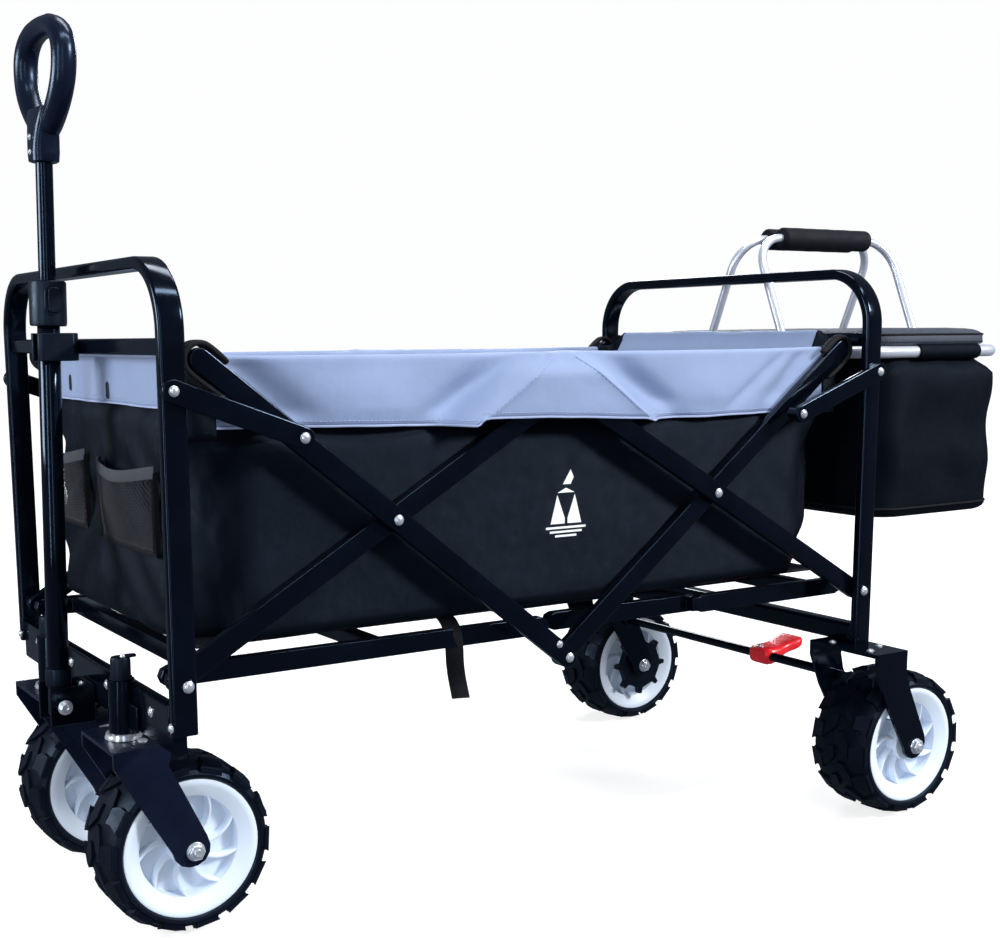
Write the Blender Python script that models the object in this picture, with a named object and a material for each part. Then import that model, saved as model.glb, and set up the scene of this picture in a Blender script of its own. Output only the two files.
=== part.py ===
"""Folding camp wagon with a telescoping tow handle and a lift-off basket.

Metres, +Z up. The front of the wagon, with its tow handle, is at -X, and the
left side, seen from behind, is at -Y. Dimensions are measured from the middle
of the side scissors; the last step moves every piece so that the middle of
the whole wagon is at x = 0.
"""

import math

import bmesh
import bpy
from mathutils import Matrix, Vector

# Driving dimensions of the frame, measured from the middle of the scissors.
MIDDLE_X = 0.120
PIVOT_X = 0.440
PIVOT_Z = 0.280
TOP_PIVOT_Z = 0.537
CROSS_X = 0.210
LOW_PIVOT_Z = 0.249
HOOP_RIVET_X = 0.446
HOOP_RIVET_Z = 0.547
LINK_RIVET_X = 0.320
LINK_TIP_X = 0.412

# Flat-oval frame tube and the layers of the side scissors, outward from y = 0.
TUBE_WIDE = 0.025
TUBE_THICK = 0.012
LINK_WIDE = 0.022
HOOP_X = 0.443
HOOP_OUT = 0.256
HOOP_IN = HOOP_OUT - TUBE_THICK
OUTER_LAYER = (0.2336, 0.2436)
INNER_LAYER = (0.2232, 0.2332)
STAY_LAYER = (0.2564, 0.2634)
RAIL_LAYER = (0.199, 0.211)
HOOP_CORNER = 0.062
HOOP_BOTTOM = 0.214
FRONT_HOOP_TOP = 0.663
REAR_HOOP_TOP = 0.670
CROSS_BAR_Z = 0.585
PIN_RADIUS = 0.004
HOLE_RADIUS = 0.0044
HEAD_RADIUS = 0.0072
HEAD_TALL = 0.0026
GAP = 0.0003

# Wheels.
WHEEL_RADIUS = 0.090
TYRE_WIDE = 0.085
HUB_RADIUS = 0.071
AXLE_RADIUS = 0.005
FRONT_AXLE_X = -0.4056
FRONT_WHEEL_Y = 0.1222
REAR_AXLE_X = 0.4807
REAR_WHEEL_Y = 0.2634
BRACKET_X = (0.405, 0.458)
WHEEL_SIDES = 28

# Swivel casters.
STEM_X = -0.4577
STEM_RADIUS = 0.007
SOCKET_RADIUS = 0.0135
SOCKET_TOP = 0.2625
FORK_TOP = 0.203
FORK_THICK = 0.004
FORK_GAP = 0.003
FORK_FRONT = -0.485

# Tow handle.
TOW_X = -0.485
TOW_PIVOT_Z = 0.215
TOW_LEAN = math.radians(1.4)
TOW_TUBE_RADIUS = 0.01125
TOW_TUBE_BORE = 0.009
TOW_TUBE_TOP = 0.612
INNER_TUBE_RADIUS = 0.0085
INNER_TUBE_BOTTOM = 0.330
COLLAR = (0.606, 0.651)
COLLAR_RADIUS = 0.0185
GRIP_BOTTOM = 0.766
GRIP_TOP = 0.908
GRIP_WIDE = 0.118
GRIP_THICK = 0.025
FRONT_END = -0.500

# Brake.
BRAKE_BAR_X = 0.450
BRAKE_BAR_Z = 0.165
BRAKE_BAR_RADIUS = 0.006
BRAKE_DISC_RADIUS = 0.046
BRAKE_ROOT_RADIUS = 0.037
BRAKE_TEETH = 8
PEDAL_Y = -0.078

# Basket behind the rear hoop.
BASKET_RIM_X = (0.497, 0.716)
BASKET_RIM_Y = 0.212
BASKET_RIM_Z = 0.569
BASKET_RIM_RADIUS = 0.0075
BASKET_BOTTOM = 0.360
BASKET_WALL = 0.004
LEG_X = (0.478, 0.735)
LEG_RADIUS = 0.005
HANDLE_Y = 0.075
HANDLE_Z = 0.573
HANDLE_LONG = 0.160
HANDLE_LEAN = math.radians(22.5)
FOAM_RADIUS = 0.013

# Bag.
BAG_X = 0.424
BAG_Y = 0.2225
BAG_WALL = 0.008
BAG_FLOOR = (0.3005, 0.3065)
BAG_TOP = 0.575

SIDES = {"left": -1, "right": 1}


def clear_scene():
    for obj in list(bpy.data.objects):
        bpy.data.objects.remove(obj)


def material(name, color, roughness, metallic=0.0):
    made = bpy.data.materials.new(name)
    made.use_nodes = True
    shader = made.node_tree.nodes["Principled BSDF"]
    shader.inputs["Base Color"].default_value = (*color, 1.0)
    shader.inputs["Roughness"].default_value = roughness
    shader.inputs["Metallic"].default_value = metallic
    return made


def make_materials():
    return {
        "frame": material("black_gloss_frame", (0.008, 0.009, 0.012), 0.22),
        "steel": material("zinc_steel", (0.62, 0.63, 0.65), 0.3, 1.0),
        "aluminium": material("polished_aluminium", (0.8, 0.82, 0.85), 0.18, 1.0),
        "plastic": material("black_plastic", (0.014, 0.015, 0.018), 0.45),
        "hub": material("white_plastic", (0.78, 0.84, 0.92), 0.38),
        "tyre": material("black_tyre", (0.012, 0.012, 0.014), 0.6),
        "red": material("red_plastic", (0.75, 0.01, 0.015), 0.32),
        "foam": material("black_foam", (0.014, 0.015, 0.019), 0.7),
        "fabric": material("black_fabric", (0.012, 0.013, 0.018), 0.75),
    }


def place(bm, name, finish, origin=(0.0, 0.0, 0.0)):
    """Make an object from a mesh in wagon coordinates, with its own origin."""
    bmesh.ops.recalc_face_normals(bm, faces=bm.faces)
    mesh = bpy.data.meshes.new(name)
    bm.to_mesh(mesh)
    bm.free()
    mesh.transform(Matrix.Translation(-Vector(origin)))
    mesh.materials.append(finish)
    obj = bpy.data.objects.new(name, mesh)
    obj.location = origin
    bpy.context.scene.collection.objects.link(obj)
    return obj


def combine(target, tool, operation):
    """Union the tool into the target, or cut it out, and drop the tool."""
    modifier = target.modifiers.new("combine", "BOOLEAN")
    modifier.operation = operation
    modifier.solver = "EXACT"
    modifier.object = tool
    bpy.context.view_layer.update()
    graph = bpy.context.evaluated_depsgraph_get()
    result = bpy.data.meshes.new_from_object(target.evaluated_get(graph))
    target.modifiers.clear()
    target.data = result
    bpy.data.objects.remove(tool)
    return target


def prism(bm, outline, axis, low, high):
    """Extrude a closed outline, given in the other two axes, along one axis."""
    order = {"x": (2, 0, 1), "y": (0, 2, 1), "z": (0, 1, 2)}[axis]

    def corner(point, level):
        values = (point[0], point[1], level)
        return Vector(values[i] for i in order)

    low_ring = [bm.verts.new(corner(p, low)) for p in outline]
    high_ring = [bm.verts.new(corner(p, high)) for p in outline]
    bm.faces.new(low_ring)
    bm.faces.new(high_ring)
    count = len(outline)
    for i in range(count):
        j = (i + 1) % count
        bm.faces.new((low_ring[i], low_ring[j], high_ring[j], high_ring[i]))


def box(bm, low, high):
    outline = [(low[0], low[1]), (high[0], low[1]), (high[0], high[1]), (low[0], high[1])]
    prism(bm, outline, "z", low[2], high[2])


def circle(cx, cy, radius, count=12, turn=0.0):
    return [
        (
            cx + radius * math.cos(turn + math.tau * i / count),
            cy + radius * math.sin(turn + math.tau * i / count),
        )
        for i in range(count)
    ]


def stadium(start, end, width, steps=5):
    """Outline of a bar with round ends between two points."""
    angle = math.atan2(end[1] - start[1], end[0] - start[0])
    points = []
    for centre, first in ((end, angle - math.pi / 2), (start, angle + math.pi / 2)):
        for i in range(steps + 1):
            turn = first + math.pi * i / steps
            x = centre[0] + width / 2 * math.cos(turn)
            y = centre[1] + width / 2 * math.sin(turn)
            points.append((x, y))
    return points


def rounded_rect(low, high, radius, steps=4):
    points = []
    corners = (
        (high[0] - radius, high[1] - radius, 0.0),
        (low[0] + radius, high[1] - radius, math.pi / 2),
        (low[0] + radius, low[1] + radius, math.pi),
        (high[0] - radius, low[1] + radius, 1.5 * math.pi),
    )
    for cx, cy, first in corners:
        for i in range(steps + 1):
            turn = first + math.pi / 2 * i / steps
            points.append((cx + radius * math.cos(turn), cy + radius * math.sin(turn)))
    return points


def sweep(bm, path, section, up, closed=False):
    """Loft a section along a path; the section's first axis stays along up."""
    rings = []
    count = len(path)
    up = Vector(up)
    for i, point in enumerate(path):
        before = path[i - 1] if i or closed else path[i]
        after = path[(i + 1) % count] if i + 1 < count or closed else path[i]
        along = (Vector(after) - Vector(before)).normalized()
        across = along.cross(up).normalized()
        ring = [bm.verts.new(Vector(point) + up * u + across * v) for u, v in section]
        rings.append(ring)
    size = len(section)
    spans = count if closed else count - 1
    for i in range(spans):
        a = rings[i]
        b = rings[(i + 1) % count]
        for k in range(size):
            m = (k + 1) % size
            bm.faces.new((a[k], a[m], b[m], b[k]))
    if not closed:
        bm.faces.new(rings[0])
        bm.faces.new(rings[-1])


def lathe(bm, profile, centre, sides, axis="y", closed=False, turn=0.0):
    """Turn a profile of (radius, place along the axis) about an axis."""
    rings = []
    for radius, level in profile:
        ring = []
        for u, v in circle(0.0, 0.0, radius, sides, turn):
            offset = {"x": (level, u, v), "y": (u, level, v), "z": (u, v, level)}[axis]
            ring.append(bm.verts.new(Vector(centre) + Vector(offset)))
        rings.append(ring)
    count = len(rings)
    spans = count if closed else count - 1
    for i in range(spans):
        a = rings[i]
        b = rings[(i + 1) % count]
        for k in range(sides):
            m = (k + 1) % sides
            bm.faces.new((a[k], a[m], b[m], b[k]))
    if not closed:
        bm.faces.new(rings[0])
        bm.faces.new(rings[-1])


def span(side, layer):
    """The low and high y of a layer on one side."""
    ends = sorted((side * layer[0], side * layer[1]))
    return ends[0], ends[1]


def pin_holes(points, low, high, radius=HOLE_RADIUS):
    """A cutter with one round hole along y for each point."""
    bm = bmesh.new()
    for x, z in points:
        prism(bm, circle(x, z, radius, 10), "y", low, high)
    return place(bm, "pin_holes", None)


def pin(bm, x, z, side, stations):
    """A stepped round pin along y, through (radius, distance out) stations."""
    profile = [(radius, side * out) for radius, out in stations]
    lathe(bm, profile, (x, 0.0, z), 10)


def headed(inner_end, outer_face):
    """Stations of a pin that ends outside in a domed head."""
    crown = HEAD_RADIUS * 0.62
    return [
        (PIN_RADIUS, inner_end),
        (PIN_RADIUS, outer_face + GAP),
        (HEAD_RADIUS, outer_face + GAP),
        (HEAD_RADIUS * 0.93, outer_face + GAP + HEAD_TALL * 0.5),
        (crown, outer_face + GAP + HEAD_TALL),
    ]


def hoop_path(half_width, top, bottom):
    """Centre line of an inverted U across the wagon."""
    flat = half_width - HOOP_CORNER
    points = [(-half_width, bottom)]
    steps = 6
    for i in range(steps + 1):
        turn = math.pi - math.pi / 2 * i / steps
        y = -flat + HOOP_CORNER * math.cos(turn)
        z = top - HOOP_CORNER + HOOP_CORNER * math.sin(turn)
        points.append((y, z))
    return points + [(-y, z) for y, z in reversed(points)]


def oval_section(wide, thick, steps=3):
    return stadium((-(wide - thick) / 2, 0.0), ((wide - thick) / 2, 0.0), thick, steps)


def make_hoop(name, x, top, finish):
    middle = HOOP_OUT - TUBE_THICK / 2
    path = [(x, y, z) for y, z in hoop_path(middle, top - TUBE_THICK / 2, HOOP_BOTTOM)]
    bm = bmesh.new()
    sweep(bm, path, oval_section(TUBE_WIDE, TUBE_THICK), (1.0, 0.0, 0.0))
    hoop = place(bm, name, finish["frame"], (x, 0.0, HOOP_BOTTOM))
    way = math.copysign(1.0, x)
    rivets = [(way * PIVOT_X, PIVOT_Z), (way * HOOP_RIVET_X, HOOP_RIVET_Z)]
    reach = HOOP_OUT + 0.01
    return combine(hoop, pin_holes(rivets, -reach, reach), "DIFFERENCE")


def make_cross_bar(name, x, finish, hooks=False):
    """Flat bar between the uprights, with two basket hooks on the rear one."""
    bm = bmesh.new()
    reach = HOOP_IN - GAP
    outline = rounded_rect((x - 0.006, CROSS_BAR_Z - 0.008), (x + 0.006, CROSS_BAR_Z + 0.008), 0.003, 2)
    prism(bm, outline, "y", -reach, reach)
    bar = place(bm, name, finish["frame"], (x, 0.0, CROSS_BAR_Z))
    if hooks:
        rim_x = BASKET_RIM_X[0]
        low = BASKET_RIM_Z - BASKET_RIM_RADIUS - 0.0055
        outline = [
            (x, CROSS_BAR_Z + 0.004),
            (x, low),
            (rim_x + 0.0070, low),
            (rim_x + 0.0070, low + 0.005),
            (rim_x - 0.0085, low + 0.005),
            (rim_x - 0.0085, CROSS_BAR_Z + 0.004),
        ]
        bm = bmesh.new()
        for y in (-0.040, 0.040):
            prism(bm, outline, "y", y - 0.011, y + 0.011)
        combine(bar, place(bm, "hooks", None), "UNION")
    return bar


def make_front_beam(finish):
    """Beam across the front uprights with the two caster sockets."""
    reach = HOOP_IN - GAP
    bm = bmesh.new()
    outline = rounded_rect((-0.452, HOOP_BOTTOM), (-0.438, 0.258), 0.003, 2)
    prism(bm, outline, "y", -reach, reach)
    beam = place(bm, "front_beam", finish["frame"], (-0.445, 0.0, 0.236))
    bm = bmesh.new()
    for side in SIDES.values():
        centre = (STEM_X, side * FRONT_WHEEL_Y, 0.0)
        lathe(bm, [(SOCKET_RADIUS, 0.2095), (SOCKET_RADIUS, SOCKET_TOP)], centre, 16, "z")
    combine(beam, place(bm, "sockets", None), "UNION")
    bm = bmesh.new()
    for side in SIDES.values():
        centre = (STEM_X, side * FRONT_WHEEL_Y, 0.0)
        lathe(bm, [(STEM_RADIUS + 0.0006, 0.20), (STEM_RADIUS + 0.0006, 0.29)], centre, 16, "z")
    return combine(beam, place(bm, "stem_bores", None), "DIFFERENCE")


def make_front_frame(finish):
    make_hoop("front_hoop", -HOOP_X, FRONT_HOOP_TOP, finish)
    make_cross_bar("front_cross_bar", -HOOP_X, finish)
    make_front_beam(finish)
    make_tow_bracket(finish)
    make_handle_clip(finish)


def make_tow_bracket(finish):
    """U bracket on the beam that holds the foot of the tow handle."""
    bm = bmesh.new()
    outline = [
        (FRONT_END, -0.022),
        (-0.4523, -0.022),
        (-0.4523, 0.022),
        (FRONT_END, 0.022),
        (FRONT_END, 0.018),
        (-0.4563, 0.018),
        (-0.4563, -0.018),
        (FRONT_END, -0.018),
    ]
    prism(bm, outline, "z", 0.196, 0.236)
    bracket = place(bm, "tow_bracket", finish["frame"], (-0.4523, 0.0, 0.236))
    combine(bracket, pin_holes([(TOW_X, TOW_PIVOT_Z)], -0.03, 0.03), "DIFFERENCE")
    bm = bmesh.new()
    profile = [
        (0.0075, -0.0275),
        (0.0075, -0.0223),
        (PIN_RADIUS, -0.0223),
        (PIN_RADIUS, 0.0223),
        (0.0075, 0.0223),
        (0.0075, 0.0275),
    ]
    lathe(bm, profile, (TOW_X, 0.0, TOW_PIVOT_Z), 12)
    place(bm, "tow_pivot_bolt", finish["steel"], (TOW_X, 0.0, TOW_PIVOT_Z))


def make_handle_clip(finish):
    """Open clip on the cross bar that parks the tow tube."""
    back = -HOOP_X - 0.0063
    tube_x = TOW_X + (CROSS_BAR_Z - TOW_PIVOT_Z) * math.tan(TOW_LEAN)
    gap = TOW_TUBE_RADIUS + 0.0008
    arm = gap + 0.0045
    outline = [
        (back, -arm),
        (back, arm),
        (tube_x - 0.008, arm),
        (tube_x - 0.008, gap),
        (tube_x + gap, gap),
        (tube_x + gap, -gap),
        (tube_x - 0.008, -gap),
        (tube_x - 0.008, -arm),
    ]
    bm = bmesh.new()
    prism(bm, outline, "z", CROSS_BAR_Z - 0.014, CROSS_BAR_Z + 0.014)
    place(bm, "handle_clip", finish["plastic"], (back, 0.0, CROSS_BAR_Z))


def make_caster(side_name, side, finish):
    y = side * FRONT_WHEEL_Y
    half = TYRE_WIDE / 2 + FORK_GAP
    axis = (STEM_X, y, FORK_TOP)
    bm = bmesh.new()
    low_z = FORK_TOP - FORK_THICK
    box(bm, (FORK_FRONT, y - half - FORK_THICK, low_z), (-0.425, y + half + FORK_THICK, FORK_TOP))
    fork = place(bm, f"caster_fork_{side_name}", finish["frame"], axis)
    arm = [
        (FORK_FRONT, FORK_TOP - 0.0005),
        (FORK_FRONT, low_z - 0.012),
        (FRONT_AXLE_X - 0.0232, WHEEL_RADIUS + 0.0010),
        (FRONT_AXLE_X - 0.0208, WHEEL_RADIUS - 0.0065),
        (FRONT_AXLE_X - 0.0152, WHEEL_RADIUS - 0.0125),
        (FRONT_AXLE_X - 0.0068, WHEEL_RADIUS - 0.0155),
        (FRONT_AXLE_X + 0.0018, WHEEL_RADIUS - 0.0150),
        (FRONT_AXLE_X + 0.0100, WHEEL_RADIUS - 0.0108),
        (FRONT_AXLE_X + 0.0150, WHEEL_RADIUS - 0.0035),
        (FRONT_AXLE_X + 0.0160, WHEEL_RADIUS + 0.0045),
        (FRONT_AXLE_X + 0.0130, WHEEL_RADIUS + 0.0140),
        (-0.4192, 0.160),
        (-0.4300, low_z - 0.017),
        (-0.425, FORK_TOP - 0.0005),
    ]
    bm = bmesh.new()
    prism(bm, arm, "y", y - half - FORK_THICK, y - half)
    prism(bm, arm, "y", y + half, y + half + FORK_THICK)
    combine(fork, place(bm, "arms", None), "UNION")
    bm = bmesh.new()
    stem = [(STEM_RADIUS + 0.009, FORK_TOP - 0.001), (STEM_RADIUS + 0.009, 0.2085)]
    nut = SOCKET_TOP + GAP
    stem += [(STEM_RADIUS, 0.2085), (STEM_RADIUS, nut), (0.0098, nut), (0.0090, 0.2845)]
    lathe(bm, stem, (STEM_X, y, 0.0), 16, "z")
    combine(fork, place(bm, "stem", None), "UNION")
    reach = (y - half - 0.01, y + half + 0.01)
    hole = pin_holes([(FRONT_AXLE_X, WHEEL_RADIUS)], *reach, AXLE_RADIUS + GAP)
    combine(fork, hole, "DIFFERENCE")
    make_axle(f"caster_axle_{side_name}", FRONT_AXLE_X, y, half + FORK_THICK, finish, axis)


def make_axle(name, x, y, half, finish, origin):
    """Axle bolt with a hexagon head at one end and a nut at the other."""
    bm = bmesh.new()
    profile = [
        (0.0088, -half - 0.0065),
        (0.0088, -half - GAP),
        (AXLE_RADIUS, -half - GAP),
        (AXLE_RADIUS, half + GAP),
        (0.0088, half + GAP),
        (0.0088, half + 0.0065),
    ]
    lathe(bm, profile, (x, y, WHEEL_RADIUS), 12)
    place(bm, name, finish["steel"], origin)


def make_wheel(name, x, y, finish):
    """Tyre and hub; the tyre's facets lie flat on the ground."""
    centre = (x, y, WHEEL_RADIUS)
    half = TYRE_WIDE / 2
    flat = 1.0 / math.cos(math.pi / WHEEL_SIDES)
    turn = math.pi / 2 + math.pi / WHEEL_SIDES
    tread = WHEEL_RADIUS * flat
    shoulder = tread - 0.004
    bead = HUB_RADIUS + 0.0006
    profile = [
        (bead, -half),
        (tread - 0.012, -half),
        (shoulder, -half + 0.006),
        (tread, -half + 0.016),
        (tread, half - 0.016),
        (shoulder, half - 0.006),
        (tread - 0.012, half),
        (bead, half),
    ]
    bm = bmesh.new()
    lathe(bm, profile, centre, WHEEL_SIDES, closed=True, turn=turn)
    place(bm, name.replace("wheel", "tyre"), finish["tyre"], centre)
    profile = [
        (AXLE_RADIUS + GAP, -half + 0.004),
        (0.020, -half + 0.004),
        (0.026, -half + 0.016),
        (0.058, -half + 0.016),
        (0.062, -half + 0.001),
        (HUB_RADIUS, -half + 0.001),
        (HUB_RADIUS, half - 0.001),
        (0.062, half - 0.001),
        (0.058, half - 0.016),
        (0.026, half - 0.016),
        (0.020, half - 0.004),
        (AXLE_RADIUS + GAP, half - 0.004),
    ]
    bm = bmesh.new()
    lathe(bm, profile, centre, WHEEL_SIDES, closed=True, turn=turn)
    place(bm, name.replace("wheel", "hub"), finish["hub"], centre)


def make_front_wheels(finish):
    for side_name, side in SIDES.items():
        make_caster(side_name, side, finish)
        make_wheel(f"front_wheel_{side_name}", FRONT_AXLE_X, side * FRONT_WHEEL_Y, finish)


def side_points():
    """The rivet points of one side, in the plane of the side."""
    rise = (TOP_PIVOT_Z - PIVOT_Z) / PIVOT_X
    cross_z = PIVOT_Z + (PIVOT_X - CROSS_X) * rise
    fall = (cross_z - LOW_PIVOT_Z) / CROSS_X
    return {
        "base": (-PIVOT_X, PIVOT_Z),
        "top": (0.0, TOP_PIVOT_Z),
        "low": (0.0, LOW_PIVOT_Z),
        "cross": (-CROSS_X, cross_z),
        "stay": (-LINK_RIVET_X, LOW_PIVOT_Z + LINK_RIVET_X * fall),
        "tip": (-LINK_TIP_X, LOW_PIVOT_Z + LINK_TIP_X * fall),
        "hoop": (-HOOP_RIVET_X, HOOP_RIVET_Z),
    }


def mirrored(point):
    return -point[0], point[1]


def make_link(name, start, end, layer, side, holes, pins, origin, finish):
    """One flat bar of the scissors, with its own rivets and its holes."""
    bm = bmesh.new()
    prism(bm, stadium(start, end, LINK_WIDE), "y", *span(side, layer))
    centre = (origin[0], side * sum(layer) / 2, origin[1])
    link = place(bm, name, finish["frame"], centre)
    low, high = span(side, (layer[0] - 0.005, layer[1] + 0.005))
    if holes:
        combine(link, pin_holes(holes, low, high), "DIFFERENCE")
    for point, stations in pins:
        bm = bmesh.new()
        pin(bm, point[0], point[1], side, stations)
        combine(link, place(bm, "pin", None), "UNION")
    return link


def make_side_links(finish):
    p = side_points()
    rear_cross = mirrored(p["cross"])
    rear_base = mirrored(p["base"])
    inner_start = INNER_LAYER[0] + 0.0008
    outer_head = headed(inner_start, OUTER_LAYER[1])
    base_pin = [(PIN_RADIUS, RAIL_LAYER[0] - 0.002), (PIN_RADIUS, RAIL_LAYER[1] + GAP)]
    base_pin += [(0.009, RAIL_LAYER[1] + GAP), (0.009, HOOP_IN - GAP)]
    base_pin += [(PIN_RADIUS, HOOP_IN - GAP)] + headed(0.0, HOOP_OUT)[1:]
    for side_name, side in SIDES.items():
        tag = f"_{side_name}"
        make_link(
            "front_long_link" + tag, p["base"], p["top"], INNER_LAYER, side,
            [p["cross"], p["top"]], [(p["base"], base_pin)], p["base"], finish,
        )
        make_link(
            "front_rim_link" + tag, p["low"], p["tip"], OUTER_LAYER, side,
            [], [(p["cross"], outer_head)], p["cross"], finish,
        )
        make_link(
            "rear_long_link" + tag, p["top"], rear_base, OUTER_LAYER, side,
            [], [(p["top"], outer_head), (rear_cross, outer_head), (rear_base, base_pin)],
            p["top"], finish,
        )
        make_link(
            "rear_rim_link" + tag, p["low"], mirrored(p["tip"]), INNER_LAYER, side,
            [rear_cross], [], rear_cross, finish,
        )
        for end, way in (("front", 1), ("rear", -1)):
            hoop = (way * p["hoop"][0], p["hoop"][1])
            stay = (way * p["stay"][0], p["stay"][1])
            make_stay(f"{end}_stay{tag}", hoop, stay, side, finish)


def make_stay(name, hoop, stay, side, finish):
    """Short bar outside the upright, with a rivet and a spacer at its ends."""
    crown = headed(0.0, STAY_LAYER[1] - GAP)[2:]
    inside = STAY_LAYER[1] - 0.001
    hoop_pin = [(PIN_RADIUS, HOOP_IN + GAP), (PIN_RADIUS, inside)]
    spacer = [(0.0065, OUTER_LAYER[1] + 0.0008), (0.0065, inside)]
    bm = bmesh.new()
    prism(bm, stadium(hoop, stay, 0.018), "y", *span(side, STAY_LAYER))
    link = place(bm, name, finish["frame"], (hoop[0], side * sum(STAY_LAYER) / 2, hoop[1]))
    for point, stations in ((hoop, hoop_pin), (stay, spacer)):
        bm = bmesh.new()
        pin(bm, point[0], point[1], side, stations + crown)
        combine(link, place(bm, "pin", None), "UNION")
    return link


def make_floor_half(name, way, finish):
    """Half of the slatted floor, hinged on the scissors' base rivets.

    The rear half's rails and slats lie further in beyond its middle bar, so that
    the two halves pass each other while the wagon folds.
    """
    z = (PIVOT_Z - 0.010, PIVOT_Z + 0.010)
    step_in = 0.0 if way < 0 else 0.0125
    outer_end = 0.0135 if way < 0 else 0.218
    bm = bmesh.new()
    for side in SIDES.values():
        start = (way * (PIVOT_X - 0.001), PIVOT_Z)
        prism(bm, stadium(start, (way * outer_end, PIVOT_Z), 0.020, 4), "y", *span(side, RAIL_LAYER))
    frame = place(bm, name, finish["frame"], (way * PIVOT_X, 0.0, PIVOT_Z))
    if step_in:
        layer = (RAIL_LAYER[0] - step_in, RAIL_LAYER[1] - step_in)
        bm = bmesh.new()
        for side in SIDES.values():
            outline = stadium((way * 0.211, PIVOT_Z), (way * 0.0135, PIVOT_Z), 0.020, 4)
            prism(bm, outline, "y", *span(side, layer))
        combine(frame, place(bm, "inner_rails", None), "UNION")
    reach = RAIL_LAYER[1] - 0.001
    x = sorted((way * 0.405, way * 0.390))
    bm = bmesh.new()
    box(bm, (x[0], -reach, z[0] + 0.001), (x[1], reach, z[1] - 0.001))
    combine(frame, place(bm, "end_bar", None), "UNION")
    shift = 0.0 if way < 0 else 0.018
    x = sorted((way * 0.400, way * 0.006))
    bm = bmesh.new()
    for y in (-0.067 - shift, 0.067 + shift):
        box(bm, (x[0], y - 0.006, z[0] + 0.003), (x[1], y + 0.006, z[1] - 0.003))
    combine(frame, place(bm, "slats", None), "UNION")
    bm = bmesh.new()
    x = sorted((way * 0.205, way * 0.220))
    box(bm, (x[0], -reach, z[0] + 0.002), (x[1], reach, z[1] - 0.002))
    combine(frame, place(bm, "middle_bar", None), "UNION")
    low, high = -RAIL_LAYER[1] - 0.01, RAIL_LAYER[1] + 0.01
    return combine(frame, pin_holes([(way * PIVOT_X, PIVOT_Z)], low, high), "DIFFERENCE")


def make_floor(finish):
    make_floor_half("floor_frame_front", -1, finish)
    make_floor_half("floor_frame_rear", 1, finish)


def make_rear_frame(finish):
    make_hoop("rear_hoop", HOOP_X, REAR_HOOP_TOP, finish)
    make_cross_bar("rear_cross_bar", HOOP_X, finish, hooks=True)
    reach = HOOP_IN - GAP
    bm = bmesh.new()
    outline = rounded_rect((HOOP_X - 0.0115, HOOP_BOTTOM), (HOOP_X + 0.0115, 0.237), 0.004, 2)
    prism(bm, outline, "y", -reach, reach)
    place(bm, "rear_beam", finish["frame"], (HOOP_X, 0.0, 0.2255))
    for side_name, side in SIDES.items():
        make_wheel_bracket(side_name, side, finish)
        make_wheel(f"rear_wheel_{side_name}", REAR_AXLE_X, side * REAR_WHEEL_Y, finish)
        make_brake_disc(side_name, side, finish)


def make_wheel_bracket(side_name, side, finish):
    """Inverted U over a rear wheel; its inner arm also carries the brake bar."""
    top = HOOP_BOTTOM - GAP
    outer = (0.3085, 0.3125)
    inner = (0.2045, 0.2085)
    bm = bmesh.new()
    y = span(side, (inner[0], outer[1]))
    box(bm, (BRACKET_X[0], y[0], top - 0.005), (BRACKET_X[1], y[1], top))
    origin = (HOOP_X, side * REAR_WHEEL_Y, top)
    bracket = place(bm, f"wheel_bracket_{side_name}", finish["frame"], origin)
    arm = [
        (BRACKET_X[0], top - 0.0005),
        (BRACKET_X[0], 0.196),
        (BRACKET_X[0] + 0.0165, 0.156),
        (REAR_AXLE_X - 0.0215, WHEEL_RADIUS + 0.0005),
        (REAR_AXLE_X - 0.0195, WHEEL_RADIUS - 0.0065),
        (REAR_AXLE_X - 0.0140, WHEEL_RADIUS - 0.0122),
        (REAR_AXLE_X - 0.0065, WHEEL_RADIUS - 0.0148),
        (REAR_AXLE_X + 0.0010, WHEEL_RADIUS - 0.0146),
        (REAR_AXLE_X + 0.0088, WHEEL_RADIUS - 0.0108),
        (REAR_AXLE_X + 0.0145, WHEEL_RADIUS - 0.0040),
        (REAR_AXLE_X + 0.0162, WHEEL_RADIUS + 0.0045),
        (REAR_AXLE_X + 0.0138, WHEEL_RADIUS + 0.0140),
        (BRACKET_X[1] + 0.0045, 0.171),
        (BRACKET_X[1], 0.190),
        (BRACKET_X[1], top - 0.0005),
    ]
    bm = bmesh.new()
    prism(bm, arm, "y", *span(side, outer))
    prism(bm, arm, "y", *span(side, inner))
    combine(bracket, place(bm, "arms", None), "UNION")
    low, high = span(side, (0.19, 0.33))
    hole = pin_holes([(REAR_AXLE_X, WHEEL_RADIUS)], low, high, AXLE_RADIUS + GAP)
    combine(bracket, hole, "DIFFERENCE")
    low, high = span(side, (0.19, 0.22))
    hole = pin_holes([(BRAKE_BAR_X, BRAKE_BAR_Z)], low, high, BRAKE_BAR_RADIUS + 0.0006)
    combine(bracket, hole, "DIFFERENCE")
    middle = side * (outer[1] + inner[0]) / 2
    half = (outer[1] - inner[0]) / 2
    make_axle(f"rear_axle_{side_name}", REAR_AXLE_X, middle, half, finish, origin)


def brake_direction():
    """Angle from the rear axle up to the brake bar."""
    return math.atan2(BRAKE_BAR_Z - WHEEL_RADIUS, BRAKE_BAR_X - REAR_AXLE_X)


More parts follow.
